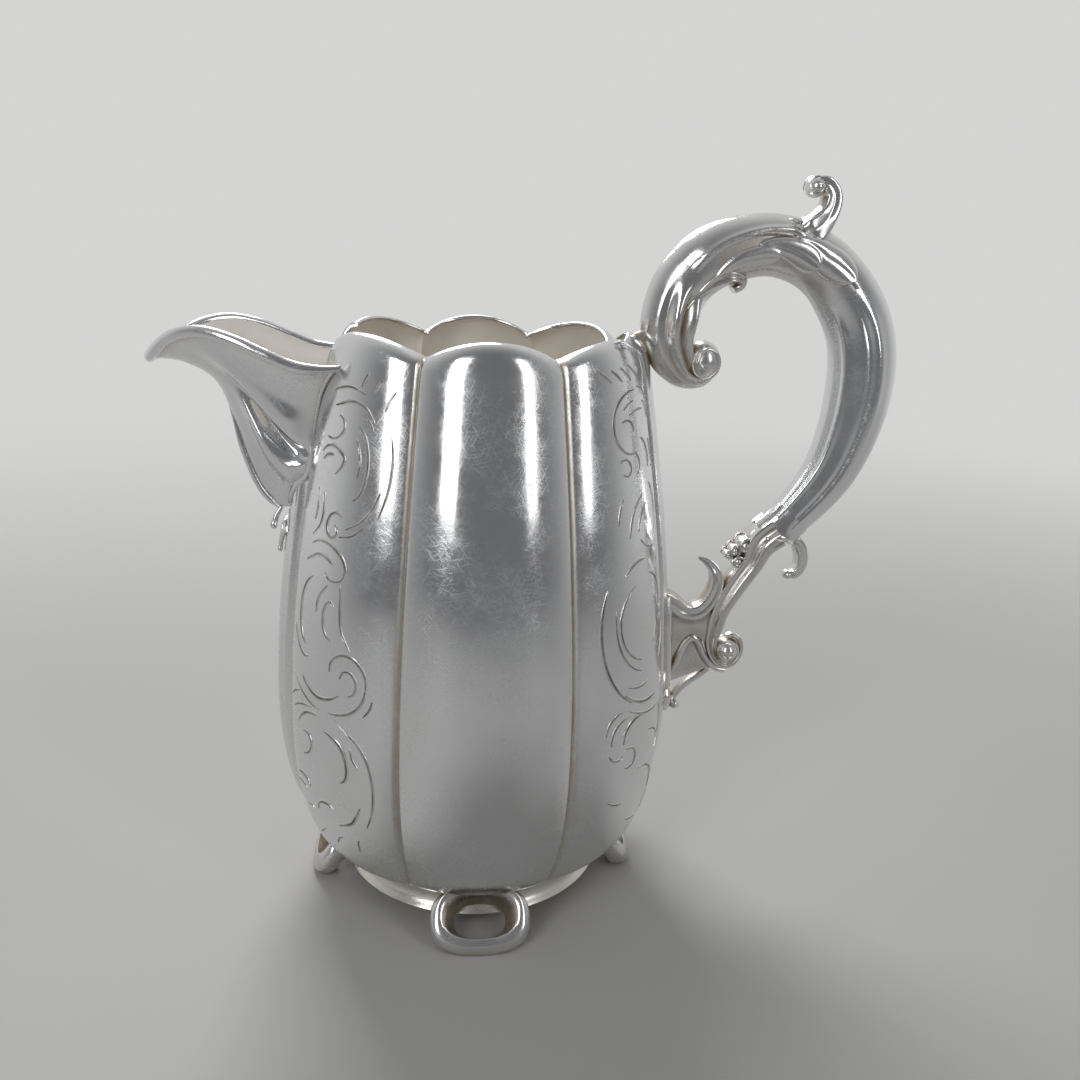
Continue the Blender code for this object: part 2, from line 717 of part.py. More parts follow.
def section(place, normal, width, depth, sides, ridge):
    """Closed loop across a bar: round with soft ridges on the two flanks."""
    loop = []
    for k in range(sides):
        swing = 2 * math.pi * k / sides
        c, s = math.cos(swing), math.sin(swing)
        side = math.copysign(abs(s) ** ridge, s) * depth
        loop.append(place + normal * (c * width) + Vector((0, side, 0)))
    return loop


def bar(
    name, places, depth_ratio, swell=0.0, flare=0.0, sides=SCROLL_SIDES, ridge=1.0, flute=0.0, helper=False
):
    """Bar swept along places in the middle plane; swell widens it, flare its end, and flutes run along it."""
    grid = []
    for i, (middle, normal, half) in enumerate(places):
        more = swell + flare * (i / (len(places) - 1)) ** 2
        loop = section(middle, normal, half + more, half * depth_ratio + more, sides, ridge)
        for k in range(0, sides, 2):
            loop[k] += (middle - loop[k]).normalized() * flute
        grid.append(loop)
    bm = bmesh.new()
    capped(bm, grid)
    return piece(name, bm, helper)


def ball(name, seat, spot, radius, depth_ratio=1.0):
    """Helper: the round eye of a scroll, taken in by its bar."""
    bm = bmesh.new()
    bmesh.ops.create_uvsphere(bm, u_segments=BALL_SEGMENTS, v_segments=BALL_RINGS, radius=radius)
    for vert in bm.verts:
        vert.co.y *= depth_ratio
        vert.co += Vector((seat.x + spot[0], 0, seat.y + spot[1]))
    return piece(name, bm, helper=True)


def handle_places(start, end, steps):
    """Stations of the handle's own line."""
    return stations(on_handle(HANDLE_LINE), upper_seat(), steps, start, end)


def joint_share():
    """Share of the handle's line that covers the gap of one joint."""
    step = 0.01
    (here, _, _), (there, _, _) = handle_places(MOUNT_END, MOUNT_END + step, 1)
    return step * SOLDER_GAP / (there - here).length


def tip_cutter(name, ahead):
    """Helper: the pointed end of the upper leaf seen from the side, moved on along the handle."""
    middle, side, half = station(on_handle(HANDLE_LINE), upper_seat(), UPPER_TIP_AT)
    run = Vector((side.z, 0, -side.x))
    middle = middle + run * ahead
    reach = side * (half * TIP_REACH)
    back = run * (half * TIP_BACK)
    shoulder = run * UPPER_TIP_LENGTH
    outline = [middle + shoulder, middle + reach - shoulder, middle + reach - back]
    outline += [middle - reach - back, middle - reach - shoulder]
    return extruded(name, outline, Vector((0, 1, 0)), TIP_DEPTH)


def handle_bar(name, start, end, steps):
    """Plain stretch of the handle."""
    places = handle_places(start, end, steps)
    return bar(name, places, HANDLE_DEPTH_RATIO, sides=HANDLE_SIDES, ridge=HANDLE_RIDGE)


def upper_mount():
    """Upper end of the handle: stem that rolls into a volute, with a lug to the body."""
    seat = upper_seat()
    mount = handle_bar("handle_upper_mount", 0.0, MOUNT_END, MOUNT_STEPS)
    lug = bar("mount_lug", stations(on_handle(LUG_LINE), seat, LUG_STEPS), LUG_DEPTH_RATIO, helper=True)
    eye = on_handle([VOLUTE_EYE])[0]
    combine(mount, ball("volute_eye", seat, eye, VOLUTE_EYE_RADIUS), "UNION")
    combine(mount, lug, "UNION")
    return mount


def upper_sleeve(gap_share):
    """Leaf that wraps the top of the handle and ends in a point on each flank."""
    sleeve = bar(
        "upper_leaf_sleeve",
        handle_places(MOUNT_END + gap_share, UPPER_SLEEVE_END, SLEEVE_STEPS),
        HANDLE_DEPTH_RATIO,
        swell=SLEEVE_SWELL,
        sides=2 * HANDLE_SIDES,
        ridge=HANDLE_RIDGE,
        flute=SLEEVE_FLUTE,
    )
    combine(sleeve, tip_cutter("leaf_tip", 0.0), "INTERSECT")
    return sleeve


def grip():
    """Plain tube of the handle, cut to the leaf's point above and level at the lower sleeve."""
    tube = handle_bar("handle_grip", UPPER_TIP_AT - GRIP_UNDER_LEAF, 1 - LOWER_SLEEVE_SHARE, GRIP_STEPS)
    combine(tube, tip_cutter("leaf_tip_clearance", SOLDER_GAP * 1.5), "DIFFERENCE")
    return tube


def scroll_seat():
    """Helper: the top of the handle with the joint's gap, for trimming the small scrolls on it."""
    places = handle_places(SCROLL_SEAT_START, UPPER_SLEEVE_END + SCROLL_SEAT_PAST, SCROLL_SEAT_STEPS)
    swell = SLEEVE_SWELL + SOLDER_GAP
    return bar("scroll_seat", places, HANDLE_DEPTH_RATIO, swell=swell, sides=2 * HANDLE_SIDES, helper=True)


def small_scroll(name, line):
    """Curl that stands on the handle."""
    return bar(name, stations(on_handle(line), upper_seat(), SCROLL_STEPS), SCROLL_DEPTH_RATIO)


def lower_sleeve(gap_share):
    """Leaf collar at the foot of the grip, flaring downwards, with a hooked tip on the outside."""
    sleeve = bar(
        "lower_leaf_sleeve",
        handle_places(1 - LOWER_SLEEVE_SHARE + gap_share, 1.0, LOWER_SLEEVE_STEPS),
        HANDLE_DEPTH_RATIO,
        swell=SLEEVE_SWELL,
        flare=LOWER_SLEEVE_FLARE,
        sides=2 * HANDLE_SIDES,
        flute=SLEEVE_FLUTE,
    )
    places = stations(on_handle(HOOK_LINE), handle_end(), HOOK_STEPS)
    combine(sleeve, bar("leaf_hook", places, SCROLL_DEPTH_RATIO, helper=True), "UNION")
    return sleeve


def sleeve_end():
    """Helper: block up to the lower sleeve's end face and the solder in front of it."""
    middle, side, _ = handle_places(0.0, 1.0, 1)[-1]
    run = Vector((side.z, 0, -side.x))
    bm = bmesh.new()
    bmesh.ops.create_cube(bm, size=2 * HANDLE_WIDTH)
    for vert in bm.verts:
        along = vert.co.z + HANDLE_WIDTH - SOLDER_GAP
        vert.co = middle + side * vert.co.x + Vector((0, vert.co.y, 0)) - run * along
    return piece("sleeve_end", bm, helper=True)


def lower_bracket():
    """Strap from the sleeve to the body: volute below, wing and small arch to the plate."""
    seat = lower_seat()
    line = []
    for middle, side, half in handle_places(1 - LOWER_SLEEVE_SHARE, 1.0, 1):
        line.append((middle.x - seat.x, middle.z - seat.y, 2 * half))
    line += on_bracket(BRACKET_LINE)
    places = stations(line, seat, BRACKET_STEPS, start=1 / (len(line) - 1))
    bracket = bar("lower_bracket", places, BRACKET_DEPTH_RATIO)
    eye = on_bracket([BRACKET_EYE])[0]
    combine(bracket, ball("bracket_eye", seat, eye, BRACKET_EYE_RADIUS), "UNION")
    for name, path in (("bracket_wing", WING_LINE), ("bracket_arch", ARCH_LINE)):
        places = stations(on_bracket(path), seat, BRANCH_STEPS)
        combine(bracket, bar(name, places, BRACKET_DEPTH_RATIO, helper=True), "UNION")
    combine(bracket, sleeve_end(), "DIFFERENCE")
    return bracket


def plate_half_width(share):
    """Half width of the wall plate from its top, 0, to the end of its tail, 1: a leaf, then a round drop."""
    leaf = math.sin(math.pi * (PLATE_SWELL_START + (1 - PLATE_SWELL_START) * share)) ** 2
    drop = math.sin(math.pi * max(0, (share - 1) / PLATE_DROP_SHARE + 1))
    swell = (PLATE_HALF_WIDTH - PLATE_TAIL_HALF_WIDTH) * leaf
    return PLATE_TAIL_HALF_WIDTH + swell + PLATE_DROP_RADIUS * drop


def wall_plate():
    """Leaf-shaped plate on the strip under the bracket, narrowing to a tail with a round end."""
    bm = bmesh.new()
    inner, outer = [], []
    for row in range(PLATE_ROWS + 1):
        share = row / PLATE_ROWS
        height = LOWER_SEAT_HEIGHT + PLATE_TOP - (PLATE_TOP + PLATE_BOTTOM) * share
        t = crest_share(height)
        swing = plate_half_width(share) / crest_radius(height)
        line_in, line_out = [], []
        for column in range(PLATE_COLUMNS + 1):
            across = column / PLATE_COLUMNS
            crown = PLATE_EDGE_THICK + (PLATE_THICK - PLATE_EDGE_THICK) * math.sin(math.pi * across)
            angle = swing * (2 * across - 1)
            line_in.append(body_point(angle, t, SOLDER_GAP))
            line_out.append(body_point(angle, t, SOLDER_GAP + crown))
        inner.append(line_in)
        outer.append(line_out)
    low, high = rows_of(bm, inner), rows_of(bm, outer)
    skin(bm, low)
    skin(bm, high)
    for end in (0, -1):
        skin(bm, [low[end], high[end]])
        skin(bm, [[row[end] for row in low], [row[end] for row in high]])
    return piece("lower_wall_plate", bm)


def build_body(body_seat):
    """Half shells, bottom plate, collar and feet."""
    notch = pour_notch()
    for name, side in (("body_front_half", -1), ("body_back_half", 1)):
        shell = half_shell(name, side)
        combine(shell, notch, "DIFFERENCE")
        finish(shell, BODY_COLOUR, BODY_ROUGHNESS)
    collar = turned("base_collar", collar_outline(0.0, COLLAR_WALL), closed=True)
    for obj in (base_disc(), collar):
        finish(obj, RECESS_COLOUR, RECESS_ROUGHNESS)
    seat_outline = collar_outline(2 * SOLDER_GAP, COLLAR_SEAT_WALL)
    collar_seat = turned("collar_seat", seat_outline, closed=True, helper=True)
    for quarter, name in enumerate(("foot_front", "foot_handle", "foot_back", "foot_spout")):
        bm = foot_mesh()
        bm.transform(Matrix.Rotation(quarter * math.pi / 2, 4, "Z"))
        foot = piece(name, bm)
        combine(foot, body_seat, "DIFFERENCE")
        combine(foot, collar_seat, "DIFFERENCE")
        finish(foot, CAST_COLOUR, CAST_ROUGHNESS)


def build_spout(body_seat):
    """Spout, its edge wire and the drop below it, each trimmed to the body."""
    for obj in (spout(), edge_wire(), spout_drop()):
        combine(obj, body_seat, "DIFFERENCE")
        finish(obj, BODY_COLOUR, BODY_ROUGHNESS)


def build_handle(body_seat):
    """Upper mount, leaf, grip, small scrolls and the lower bracket with its plate."""
    gap_share = joint_share()
    mount = upper_mount()
    combine(mount, body_seat, "DIFFERENCE")
    thumb = small_scroll("thumb_scroll", THUMB_LINE)
    spot = on_handle([THUMB_BALL])[0]
    knob = ball("thumb_ball", upper_seat(), spot, THUMB_BALL_RADIUS, SCROLL_DEPTH_RATIO)
    combine(thumb, knob, "UNION")
    leaf = small_scroll("handle_inner_leaf", LEAF_LINE)
    seat = scroll_seat()
    for obj in (thumb, leaf):
        combine(obj, seat, "DIFFERENCE")
    bracket = lower_bracket()
    combine(bracket, envelope("plate_seat", PLATE_THICK + 3 * SOLDER_GAP), "DIFFERENCE")
    for obj in (mount, upper_sleeve(gap_share), thumb, leaf, lower_sleeve(gap_share), bracket, wall_plate()):
        finish(obj, CAST_COLOUR, CAST_ROUGHNESS)
    finish(grip(), BODY_COLOUR, BODY_ROUGHNESS)


def centre():
    """Move the carrying empty so that the whole jug stands centred over the origin."""
    bpy.context.view_layer.update()
    graph = bpy.context.evaluated_depsgraph_get()
    ends = []
    for obj in finished:
        shape = obj.evaluated_get(graph)
        ends += [(shape.matrix_world @ Vector(corner)).x for corner in shape.bound_box]
    jug.location.x = -(min(ends) + max(ends)) / 2


clear_scene()
jug = bpy.data.objects.new("jug", None)
bpy.context.collection.objects.link(jug)
finished = []
trim = envelope("body_seat", SOLDER_GAP)
build_body(trim)
build_spout(trim)
build_handle(trim)
centre()
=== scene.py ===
# %% [markdown]
# # A lobed milk jug in plated metal
# The jug is hollow-ware: two stamped half shells, a raised spout, a cast scroll handle and four loop feet,
# all soldered together and plated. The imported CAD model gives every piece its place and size. This lesson
# dresses it: each plain solid is replaced by a fine surface worked out with numpy, and every surface gets a
# procedural finish.

# %% Frame and its box
import math

import bpy
import numpy as np
from mathutils import Matrix, Vector


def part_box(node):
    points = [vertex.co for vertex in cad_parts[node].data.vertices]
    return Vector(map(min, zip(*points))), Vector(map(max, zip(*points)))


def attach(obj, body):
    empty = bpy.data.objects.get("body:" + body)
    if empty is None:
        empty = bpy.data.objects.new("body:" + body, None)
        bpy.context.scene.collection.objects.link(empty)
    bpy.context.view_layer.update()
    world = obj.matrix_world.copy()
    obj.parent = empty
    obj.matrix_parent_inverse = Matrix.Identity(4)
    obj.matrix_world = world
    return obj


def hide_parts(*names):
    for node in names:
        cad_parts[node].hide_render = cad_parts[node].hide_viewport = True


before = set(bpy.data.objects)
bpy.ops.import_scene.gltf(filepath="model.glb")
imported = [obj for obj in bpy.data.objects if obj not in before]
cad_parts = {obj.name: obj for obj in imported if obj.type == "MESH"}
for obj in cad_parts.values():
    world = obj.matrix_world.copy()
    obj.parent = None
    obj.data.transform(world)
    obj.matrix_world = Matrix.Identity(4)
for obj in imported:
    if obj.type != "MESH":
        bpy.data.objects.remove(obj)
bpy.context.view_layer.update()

# %% [markdown]
# ## One way to make every mesh
# A shape here is a stack of rings: ring i is one line of points, and neighbouring rings are joined by
# quads. A closed bar has a fan on each end; a sheet with a thickness runs out along one face and back along
# the other, so strips of quads between the two faces close it. Measures are millimetres from the upright
# axis of the body, which is the middle of the base collar in the frame.

# %% Rings to shells
MM = 0.001
collar_low, collar_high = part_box("base_collar")
AXIS_X = (collar_low[0] + collar_high[0]) / 2
print("axis of the body at x", round(AXIS_X / MM, 2), "mm")


def grid_quads(rows, columns, wrap_rows=False, wrap_columns=False):
    """Corners of each cell of a grid of points numbered by rows; a wrap joins the last line to the first."""
    index = np.arange(rows * columns).reshape(rows, columns)
    if wrap_rows:
        index = np.vstack([index, index[:1]])
    if wrap_columns:
        index = np.hstack([index, index[:, :1]])
    cells = [index[:-1, :-1], index[:-1, 1:], index[1:, 1:], index[1:, :-1]]
    return np.stack(cells, axis=-1).reshape(-1, 4)


def facing_out(points, quads, tris):
    """Faces turned outwards: the sum of a . (b x c) over all triangles is six times the volume."""
    halves = np.vstack([quads[:, [0, 1, 2]], quads[:, [0, 2, 3]], tris])
    a, b, c = (points[halves[:, k]] for k in range(3))
    volume = np.einsum("ij,ij->i", a, np.cross(b, c)).sum()
    if volume > 0:
        return quads, tris
    return quads[:, ::-1], tris[:, ::-1]


def shell(points, quads, tris, recess, inside):
    """One closed skin with two masks per point: recess, for tarnish and painted shade, and inside, the inner
    face, for painted light.
    """
    quads, tris = facing_out(points, quads, tris)
    count = len(points)
    masks = [np.broadcast_to(np.asarray(mask, float), (count,)) for mask in (recess, inside)]
    return {"points": points, "quads": quads, "tris": tris, "recess": masks[0], "inside": masks[1]}


NO_TRIS = np.zeros((0, 3), int)


def bar(rings, recess=0.0):
    """Closed bar over a stack of rings, with a fan of triangles on each end."""
    count, sides, _ = rings.shape
    ends = [rings[0].mean(axis=0), rings[-1].mean(axis=0)]
    points = np.vstack([rings.reshape(-1, 3), ends])
    k = np.arange(sides)
    after = (k + 1) % sides
    last = (count - 1) * sides
    first_fan = np.stack([np.full(sides, count * sides), after, k], axis=-1)
    last_fan = np.stack([np.full(sides, count * sides + 1), k + last, after + last], axis=-1)
    recess = np.broadcast_to(np.asarray(recess, float), (count, sides)).ravel()
    recess = np.concatenate([recess, [0.0, 0.0]])
    quads = grid_quads(count, sides, wrap_columns=True)
    fans = np.vstack([first_fan, last_fan])
    return shell(points, quads, fans, recess, 0.0)


def loop(rings, recess=0.0):
    """Ring of rings, such as a wire bent round or a turned band: closed both ways, so it has no ends."""
    count, sides, _ = rings.shape
    recess = np.broadcast_to(np.asarray(recess, float), (count, sides)).ravel()
    return shell(rings.reshape(-1, 3), grid_quads(count, sides, True, True), NO_TRIS, recess, 0.0)


def slab(rings, recess=0.0, inside=0.0):
    """Sheet with a thickness: a ring runs out on one face and back on the other; strips close both ends."""
    count, around, _ = rings.shape
    j = np.arange(around // 2 - 1)
    last = (count - 1) * around
    first_strip = np.stack([j + 1, j, around - 1 - j, around - 2 - j], axis=-1)
    last_strip = np.stack([j, j + 1, around - 2 - j, around - 1 - j], axis=-1) + last
    quads = np.vstack([grid_quads(count, around, wrap_columns=True), first_strip, last_strip])
    masks = [np.broadcast_to(np.asarray(mask, float), (count, around)).ravel() for mask in (recess, inside)]
    return shell(rings.reshape(-1, 3), quads, NO_TRIS, *masks)


# %% Shells to a piece that stands for CAD nodes
made = {}


def piece(name, shells, nodes=(), crease=40):
    """Object of closed shells in one mesh, moved from the body's axis to the frame; it rides on the jug."""
    starts = np.cumsum([0] + [len(s["points"]) for s in shells])
    points = np.vstack([s["points"] for s in shells]) * MM + np.array([AXIS_X, 0.0, 0.0])
    quads = np.vstack([s["quads"] + start for s, start in zip(shells, starts)])
    tris = np.vstack([s["tris"] + start for s, start in zip(shells, starts)])
    corners = np.concatenate([quads.ravel(), tris.ravel()])
    face_starts = np.concatenate([np.arange(len(quads)) * 4, 4 * len(quads) + np.arange(len(tris)) * 3])
    mesh = bpy.data.meshes.new(name)
    mesh.vertices.add(len(points))
    mesh.vertices.foreach_set("co", points.astype(np.float32).ravel())
    mesh.loops.add(len(corners))
    mesh.loops.foreach_set("vertex_index", corners.astype(np.int32))
    mesh.polygons.add(len(face_starts))
    mesh.polygons.foreach_set("loop_start", face_starts.astype(np.int32))
    mesh.update(calc_edges=True)
    mesh.polygons.foreach_set("use_smooth", np.ones(len(face_starts), bool))
    mesh.set_sharp_from_angle(angle=math.radians(crease))
    for mask in ("recess", "inside"):
        values = np.concatenate([s[mask] for s in shells]).astype(np.float32)
        mesh.attributes.new(mask, "FLOAT", "POINT").data.foreach_set("value", values)
    obj = bpy.data.objects.new(name, mesh)
    bpy.context.scene.collection.objects.link(obj)
    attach(obj, "root")
    if nodes:
        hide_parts(*nodes)
    made[name] = obj
    print(f"{name}: {2 * len(quads) + len(tris)} triangles")
    return obj


# %% [markdown]
# ## The lobed body
# A lobe's crest is one profile: out from the base, up the belly, in to the shoulder and over into the rim.
# Six wide lobes and two narrow strips share it. Between them the wall sinks into a seam, and the rim dips
# there too, which makes the scalloped mouth. A turned solid with cuts would give hard seams, so the whole
# wall is one function of the angle and of the way up the profile.

# %% Profile of a lobe
FLOOR_CURVE = np.array([(29.5, 11.2), (40.2, 11.2), (44.38, 26.0), (44.38, 45.0)])
SIDE_CURVE = np.array([(44.38, 45.0), (44.38, 70.0), (39.2, 100.0), (35.2, 121.0)])
SHOULDER_CURVE = np.array([(35.2, 121.0), (34.4, 125.2), (33.1, 128.5), (31.0, 128.5)])
FLOOR_END = 0.3
SIDE_END = 0.85
RIM_HEIGHT = 128.5
WALL = 1.0


def ease(share):
    """Rise from 0 to 1 with level ends: 3 s squared less 2 s cubed."""
    share = np.clip(share, 0.0, 1.0)
    return share * share * (3 - 2 * share)


def cubic(ends, s):
    """Cubic curve of four points, each weighted by its share of (1 - s + s) cubed."""
    first, second, third, last = ends
    back = 1 - s
    return first * back**3 + second * 3 * s * back**2 + third * 3 * s * s * back + last * s**3


def crest(t):
    """Radius and height of a lobe's crest: three cubics end to end, t from 0 at the base to 1 at the rim."""
    t = np.asarray(t, float)[..., None]
    low = cubic(FLOOR_CURVE, np.clip(t / FLOOR_END, 0, 1))
    side = cubic(SIDE_CURVE, np.clip((t - FLOOR_END) / (SIDE_END - FLOOR_END), 0, 1))
    top = cubic(SHOULDER_CURVE, np.clip((t - SIDE_END) / (1 - SIDE_END), 0, 1))
    return np.where(t < FLOOR_END, low, np.where(t < SIDE_END, side, top))


run_of_crest = np.linspace(0, 1, 3000)
crest_table = crest(run_of_crest)


def share_at(height):
    """Way up the profile at a height, read off a fine table of the crest."""
    return np.interp(height, crest_table[:, 1], run_of_crest)


def radius_at(height):
    """Radius of the crest at a height."""
    return np.interp(height, crest_table[:, 1], crest_table[:, 0])


print("belly", SIDE_CURVE[0, 0], "mm, shoulder", SHOULDER_CURVE[0, 0], "mm, rim", RIM_HEIGHT, "mm up")

# %% Lobes, strips and seams
STRIP_HALF = math.radians(12)
FRONT_HALF = math.radians(25)
FLANK_HALF = (math.pi / 2 - STRIP_HALF - FRONT_HALF) / 2
GROOVE_DEPTH = 2.5
GROOVE_POWER = 2.4
GROOVE_START = 0.15  # share of the profile over which the grooves fade in
SEAM_CUT = 0.55
SEAM_WIDTH = 0.5
SEAM_TARNISH_AND_SHADE_WIDTH = 0.8
STRIP_RISE = 1.1
STRIP_BEAD = 0.5
STRIP_BEAD_PLACE = 0.8
STRIP_BEAD_WIDTH = 0.09
RIM_NOTCH = 3.7
CREST_STEP = 0.002
print("half angles of front, flank and strip:", np.round(np.degrees([FRONT_HALF, FLANK_HALF, STRIP_HALF]), 1))


def lobe_place(angle):
    """Place of an angle in its lobe, 0 on the crest and 1 on the seam, with the lobe's half angle."""
    from_axis = np.abs((angle + math.pi) % (2 * math.pi) - math.pi)
    from_front = np.abs(from_axis - math.pi / 2)
    on_strip = from_front >= math.pi / 2 - STRIP_HALF
    on_front = from_front <= FRONT_HALF
    flank = np.abs(from_front - FRONT_HALF - FLANK_HALF) / FLANK_HALF
    place = np.where(on_front, from_front / FRONT_HALF, flank)
    place = np.where(on_strip, (math.pi / 2 - from_front) / STRIP_HALF, place)
    half = np.where(on_strip, STRIP_HALF, np.where(on_front, FRONT_HALF, FLANK_HALF))
    return np.clip(place, 0, 1), half, on_strip


def body_point(angle, t, offset=0.0):
    """Wall of the body: the crest moved along its normal, less a groove that is a power of the place."""
    angle, t = np.broadcast_arrays(np.asarray(angle, float), np.asarray(t, float))
    run = crest(np.minimum(t + CREST_STEP, 1)) - crest(np.maximum(t - CREST_STEP, 0))
    run = run / np.linalg.norm(run, axis=-1, keepdims=True)
    profile = crest(t)
    place, half, on_strip = lobe_place(angle)
    fade = ease(t / GROOVE_START)
    over = ease((t - SIDE_END) / (1 - SIDE_END))
    radius = profile[..., 0] + run[..., 1] * offset - GROOVE_DEPTH * fade * place**GROOVE_POWER
    bead = STRIP_BEAD * np.exp(-(((place - STRIP_BEAD_PLACE) / STRIP_BEAD_WIDTH) ** 2))
    strip = STRIP_RISE * (1 - place**2) + bead
    radius = radius + np.where(on_strip, strip * fade * (1 - over), 0.0)
    seam = (1 - place) * half * radius
    radius = radius - SEAM_CUT * fade * np.exp(-((seam / SEAM_WIDTH) ** 2))
    height = profile[..., 1] - run[..., 0] * offset - RIM_NOTCH * over * place**2
    return np.stack([radius * np.cos(angle), radius * np.sin(angle), height], axis=-1)


def seam_mask(angle, t):
    """1 in the bottom of a seam, fading out over about a millimetre: tan painted there is partly tarnish,
    partly painted shade.
    """
    place, half, _ = lobe_place(angle)
    from_seam = (1 - place) * half * crest(t)[..., 0]
    return np.exp(-((from_seam / SEAM_TARNISH_AND_SHADE_WIDTH) ** 2)) * ease(t / 0.1)


# %% [markdown]
# The spout pours through a notch in the body: wide at the rim, a throat below it and a round end. A Boolean
# would break the even grid, so each column of the wall simply stops where the notch begins.

# %% Half shells with the pouring notch
NOTCH_MOUTH = 14.0
NOTCH_THROAT = 10.2
NOTCH_STRAIGHT = 14.0
NOTCH_DEPTH = 27.0
NOTCH_LEAST = 0.05


def notch_drop(across):
    """How far the wall's edge lies below the rim: a straight flank, then a quarter of an ellipse."""
    across = np.abs(across)
    flank = NOTCH_STRAIGHT * np.clip((NOTCH_MOUTH - across) / (NOTCH_MOUTH - NOTCH_THROAT), 0, 1)
    end = (NOTCH_DEPTH - NOTCH_STRAIGHT) * np.sqrt(np.clip(1 - (across / NOTCH_THROAT) ** 2, 0, 1))
    return flank + end


def wall_limit(angle):
    """Share of the profile where the wall ends: 1 at the rim, less in the notch, settled in six rounds."""
    drop = np.zeros_like(angle)
    for _ in range(6):
        across = radius_at(RIM_HEIGHT - np.maximum(drop, 3.0)) * np.sin(angle)
        drop = np.where(np.cos(angle) < 0, notch_drop(across), 0.0)
    return np.where(drop > NOTCH_LEAST, share_at(RIM_HEIGHT - np.maximum(drop, NOTCH_LEAST)), 1.0)


def crowded(start, end, count):
    """Values from start to end, closer at both ends: about a third even steps, two thirds a cosine's."""
    s = np.arange(count) / count
    return start + (end - start) * (0.35 * s + 0.65 * (0.5 - 0.5 * np.cos(math.pi * s)))


seams = [0.0, STRIP_HALF, math.pi / 2 - FRONT_HALF, math.pi / 2 + FRONT_HALF, math.pi - STRIP_HALF, math.pi]
columns = [crowded(a, b, n) for a, b, n in zip(seams, seams[1:], (40, 64, 64, 84, 44))]
half_turn = np.concatenate(columns + [[math.pi]])
rows_up = np.concatenate(
    [
        np.linspace(0, FLOOR_END, 40, endpoint=False),
        np.linspace(FLOOR_END, SIDE_END, 70, endpoint=False),
        np.linspace(SIDE_END, 1, 36),
    ]
)
HALF_GAP = 0.03


def half_shell(side):
    """Half of the body: outer wall up, a round edge over, inner wall down; side is -1 in front, 1 behind."""
    angle = side * half_turn[:, None]
    t = rows_up[None, :] * wall_limit(half_turn)[:, None]
    outer = body_point(angle, t)
    inner = body_point(angle, t, -WALL)
    turn = np.linspace(0, math.pi, 8)[1:-1][None, :, None]
    ahead = outer[:, -1:] - outer[:, -2:-1]
    ahead = ahead / np.linalg.norm(ahead, axis=-1, keepdims=True)
    middle = (outer[:, -1:] + inner[:, -1:]) / 2
    reach = (outer[:, -1:] - inner[:, -1:]) / 2
    edge = middle + reach * np.cos(turn) + ahead * (WALL / 2) * np.sin(turn)
    rings = np.concatenate([outer, edge, inner[:, ::-1]], axis=1)
    rings[[0, -1], :, 1] = side * HALF_GAP
    recess = np.zeros(rings.shape[:2])
    recess[:, : len(rows_up)] = seam_mask(angle, t)
    inside = np.zeros(rings.shape[:2])
    inside[:, -len(rows_up):] = 1.0
    return slab(rings, recess, inside)


for half_name, side in (("body_front_half", -1), ("body_back_half", 1)):
    piece(half_name + "_wall", [half_shell(side)], [half_name], crease=50)

# %% [markdown]
# ## Engraved scrolls
# Four lobes carry bright-cut scrolls: C-shaped strokes that roll up at their ends, with short leaf cuts
# beside them. A stroke is drawn flat on the lobe, as a smooth curve through points or as a line that bends
# as it runs. It is laid on the wall as a thin ribbon with two burred lips and a hollow between, as a graver
# leaves. A bump map could not give strokes half a millimetre wide a true edge from every side.

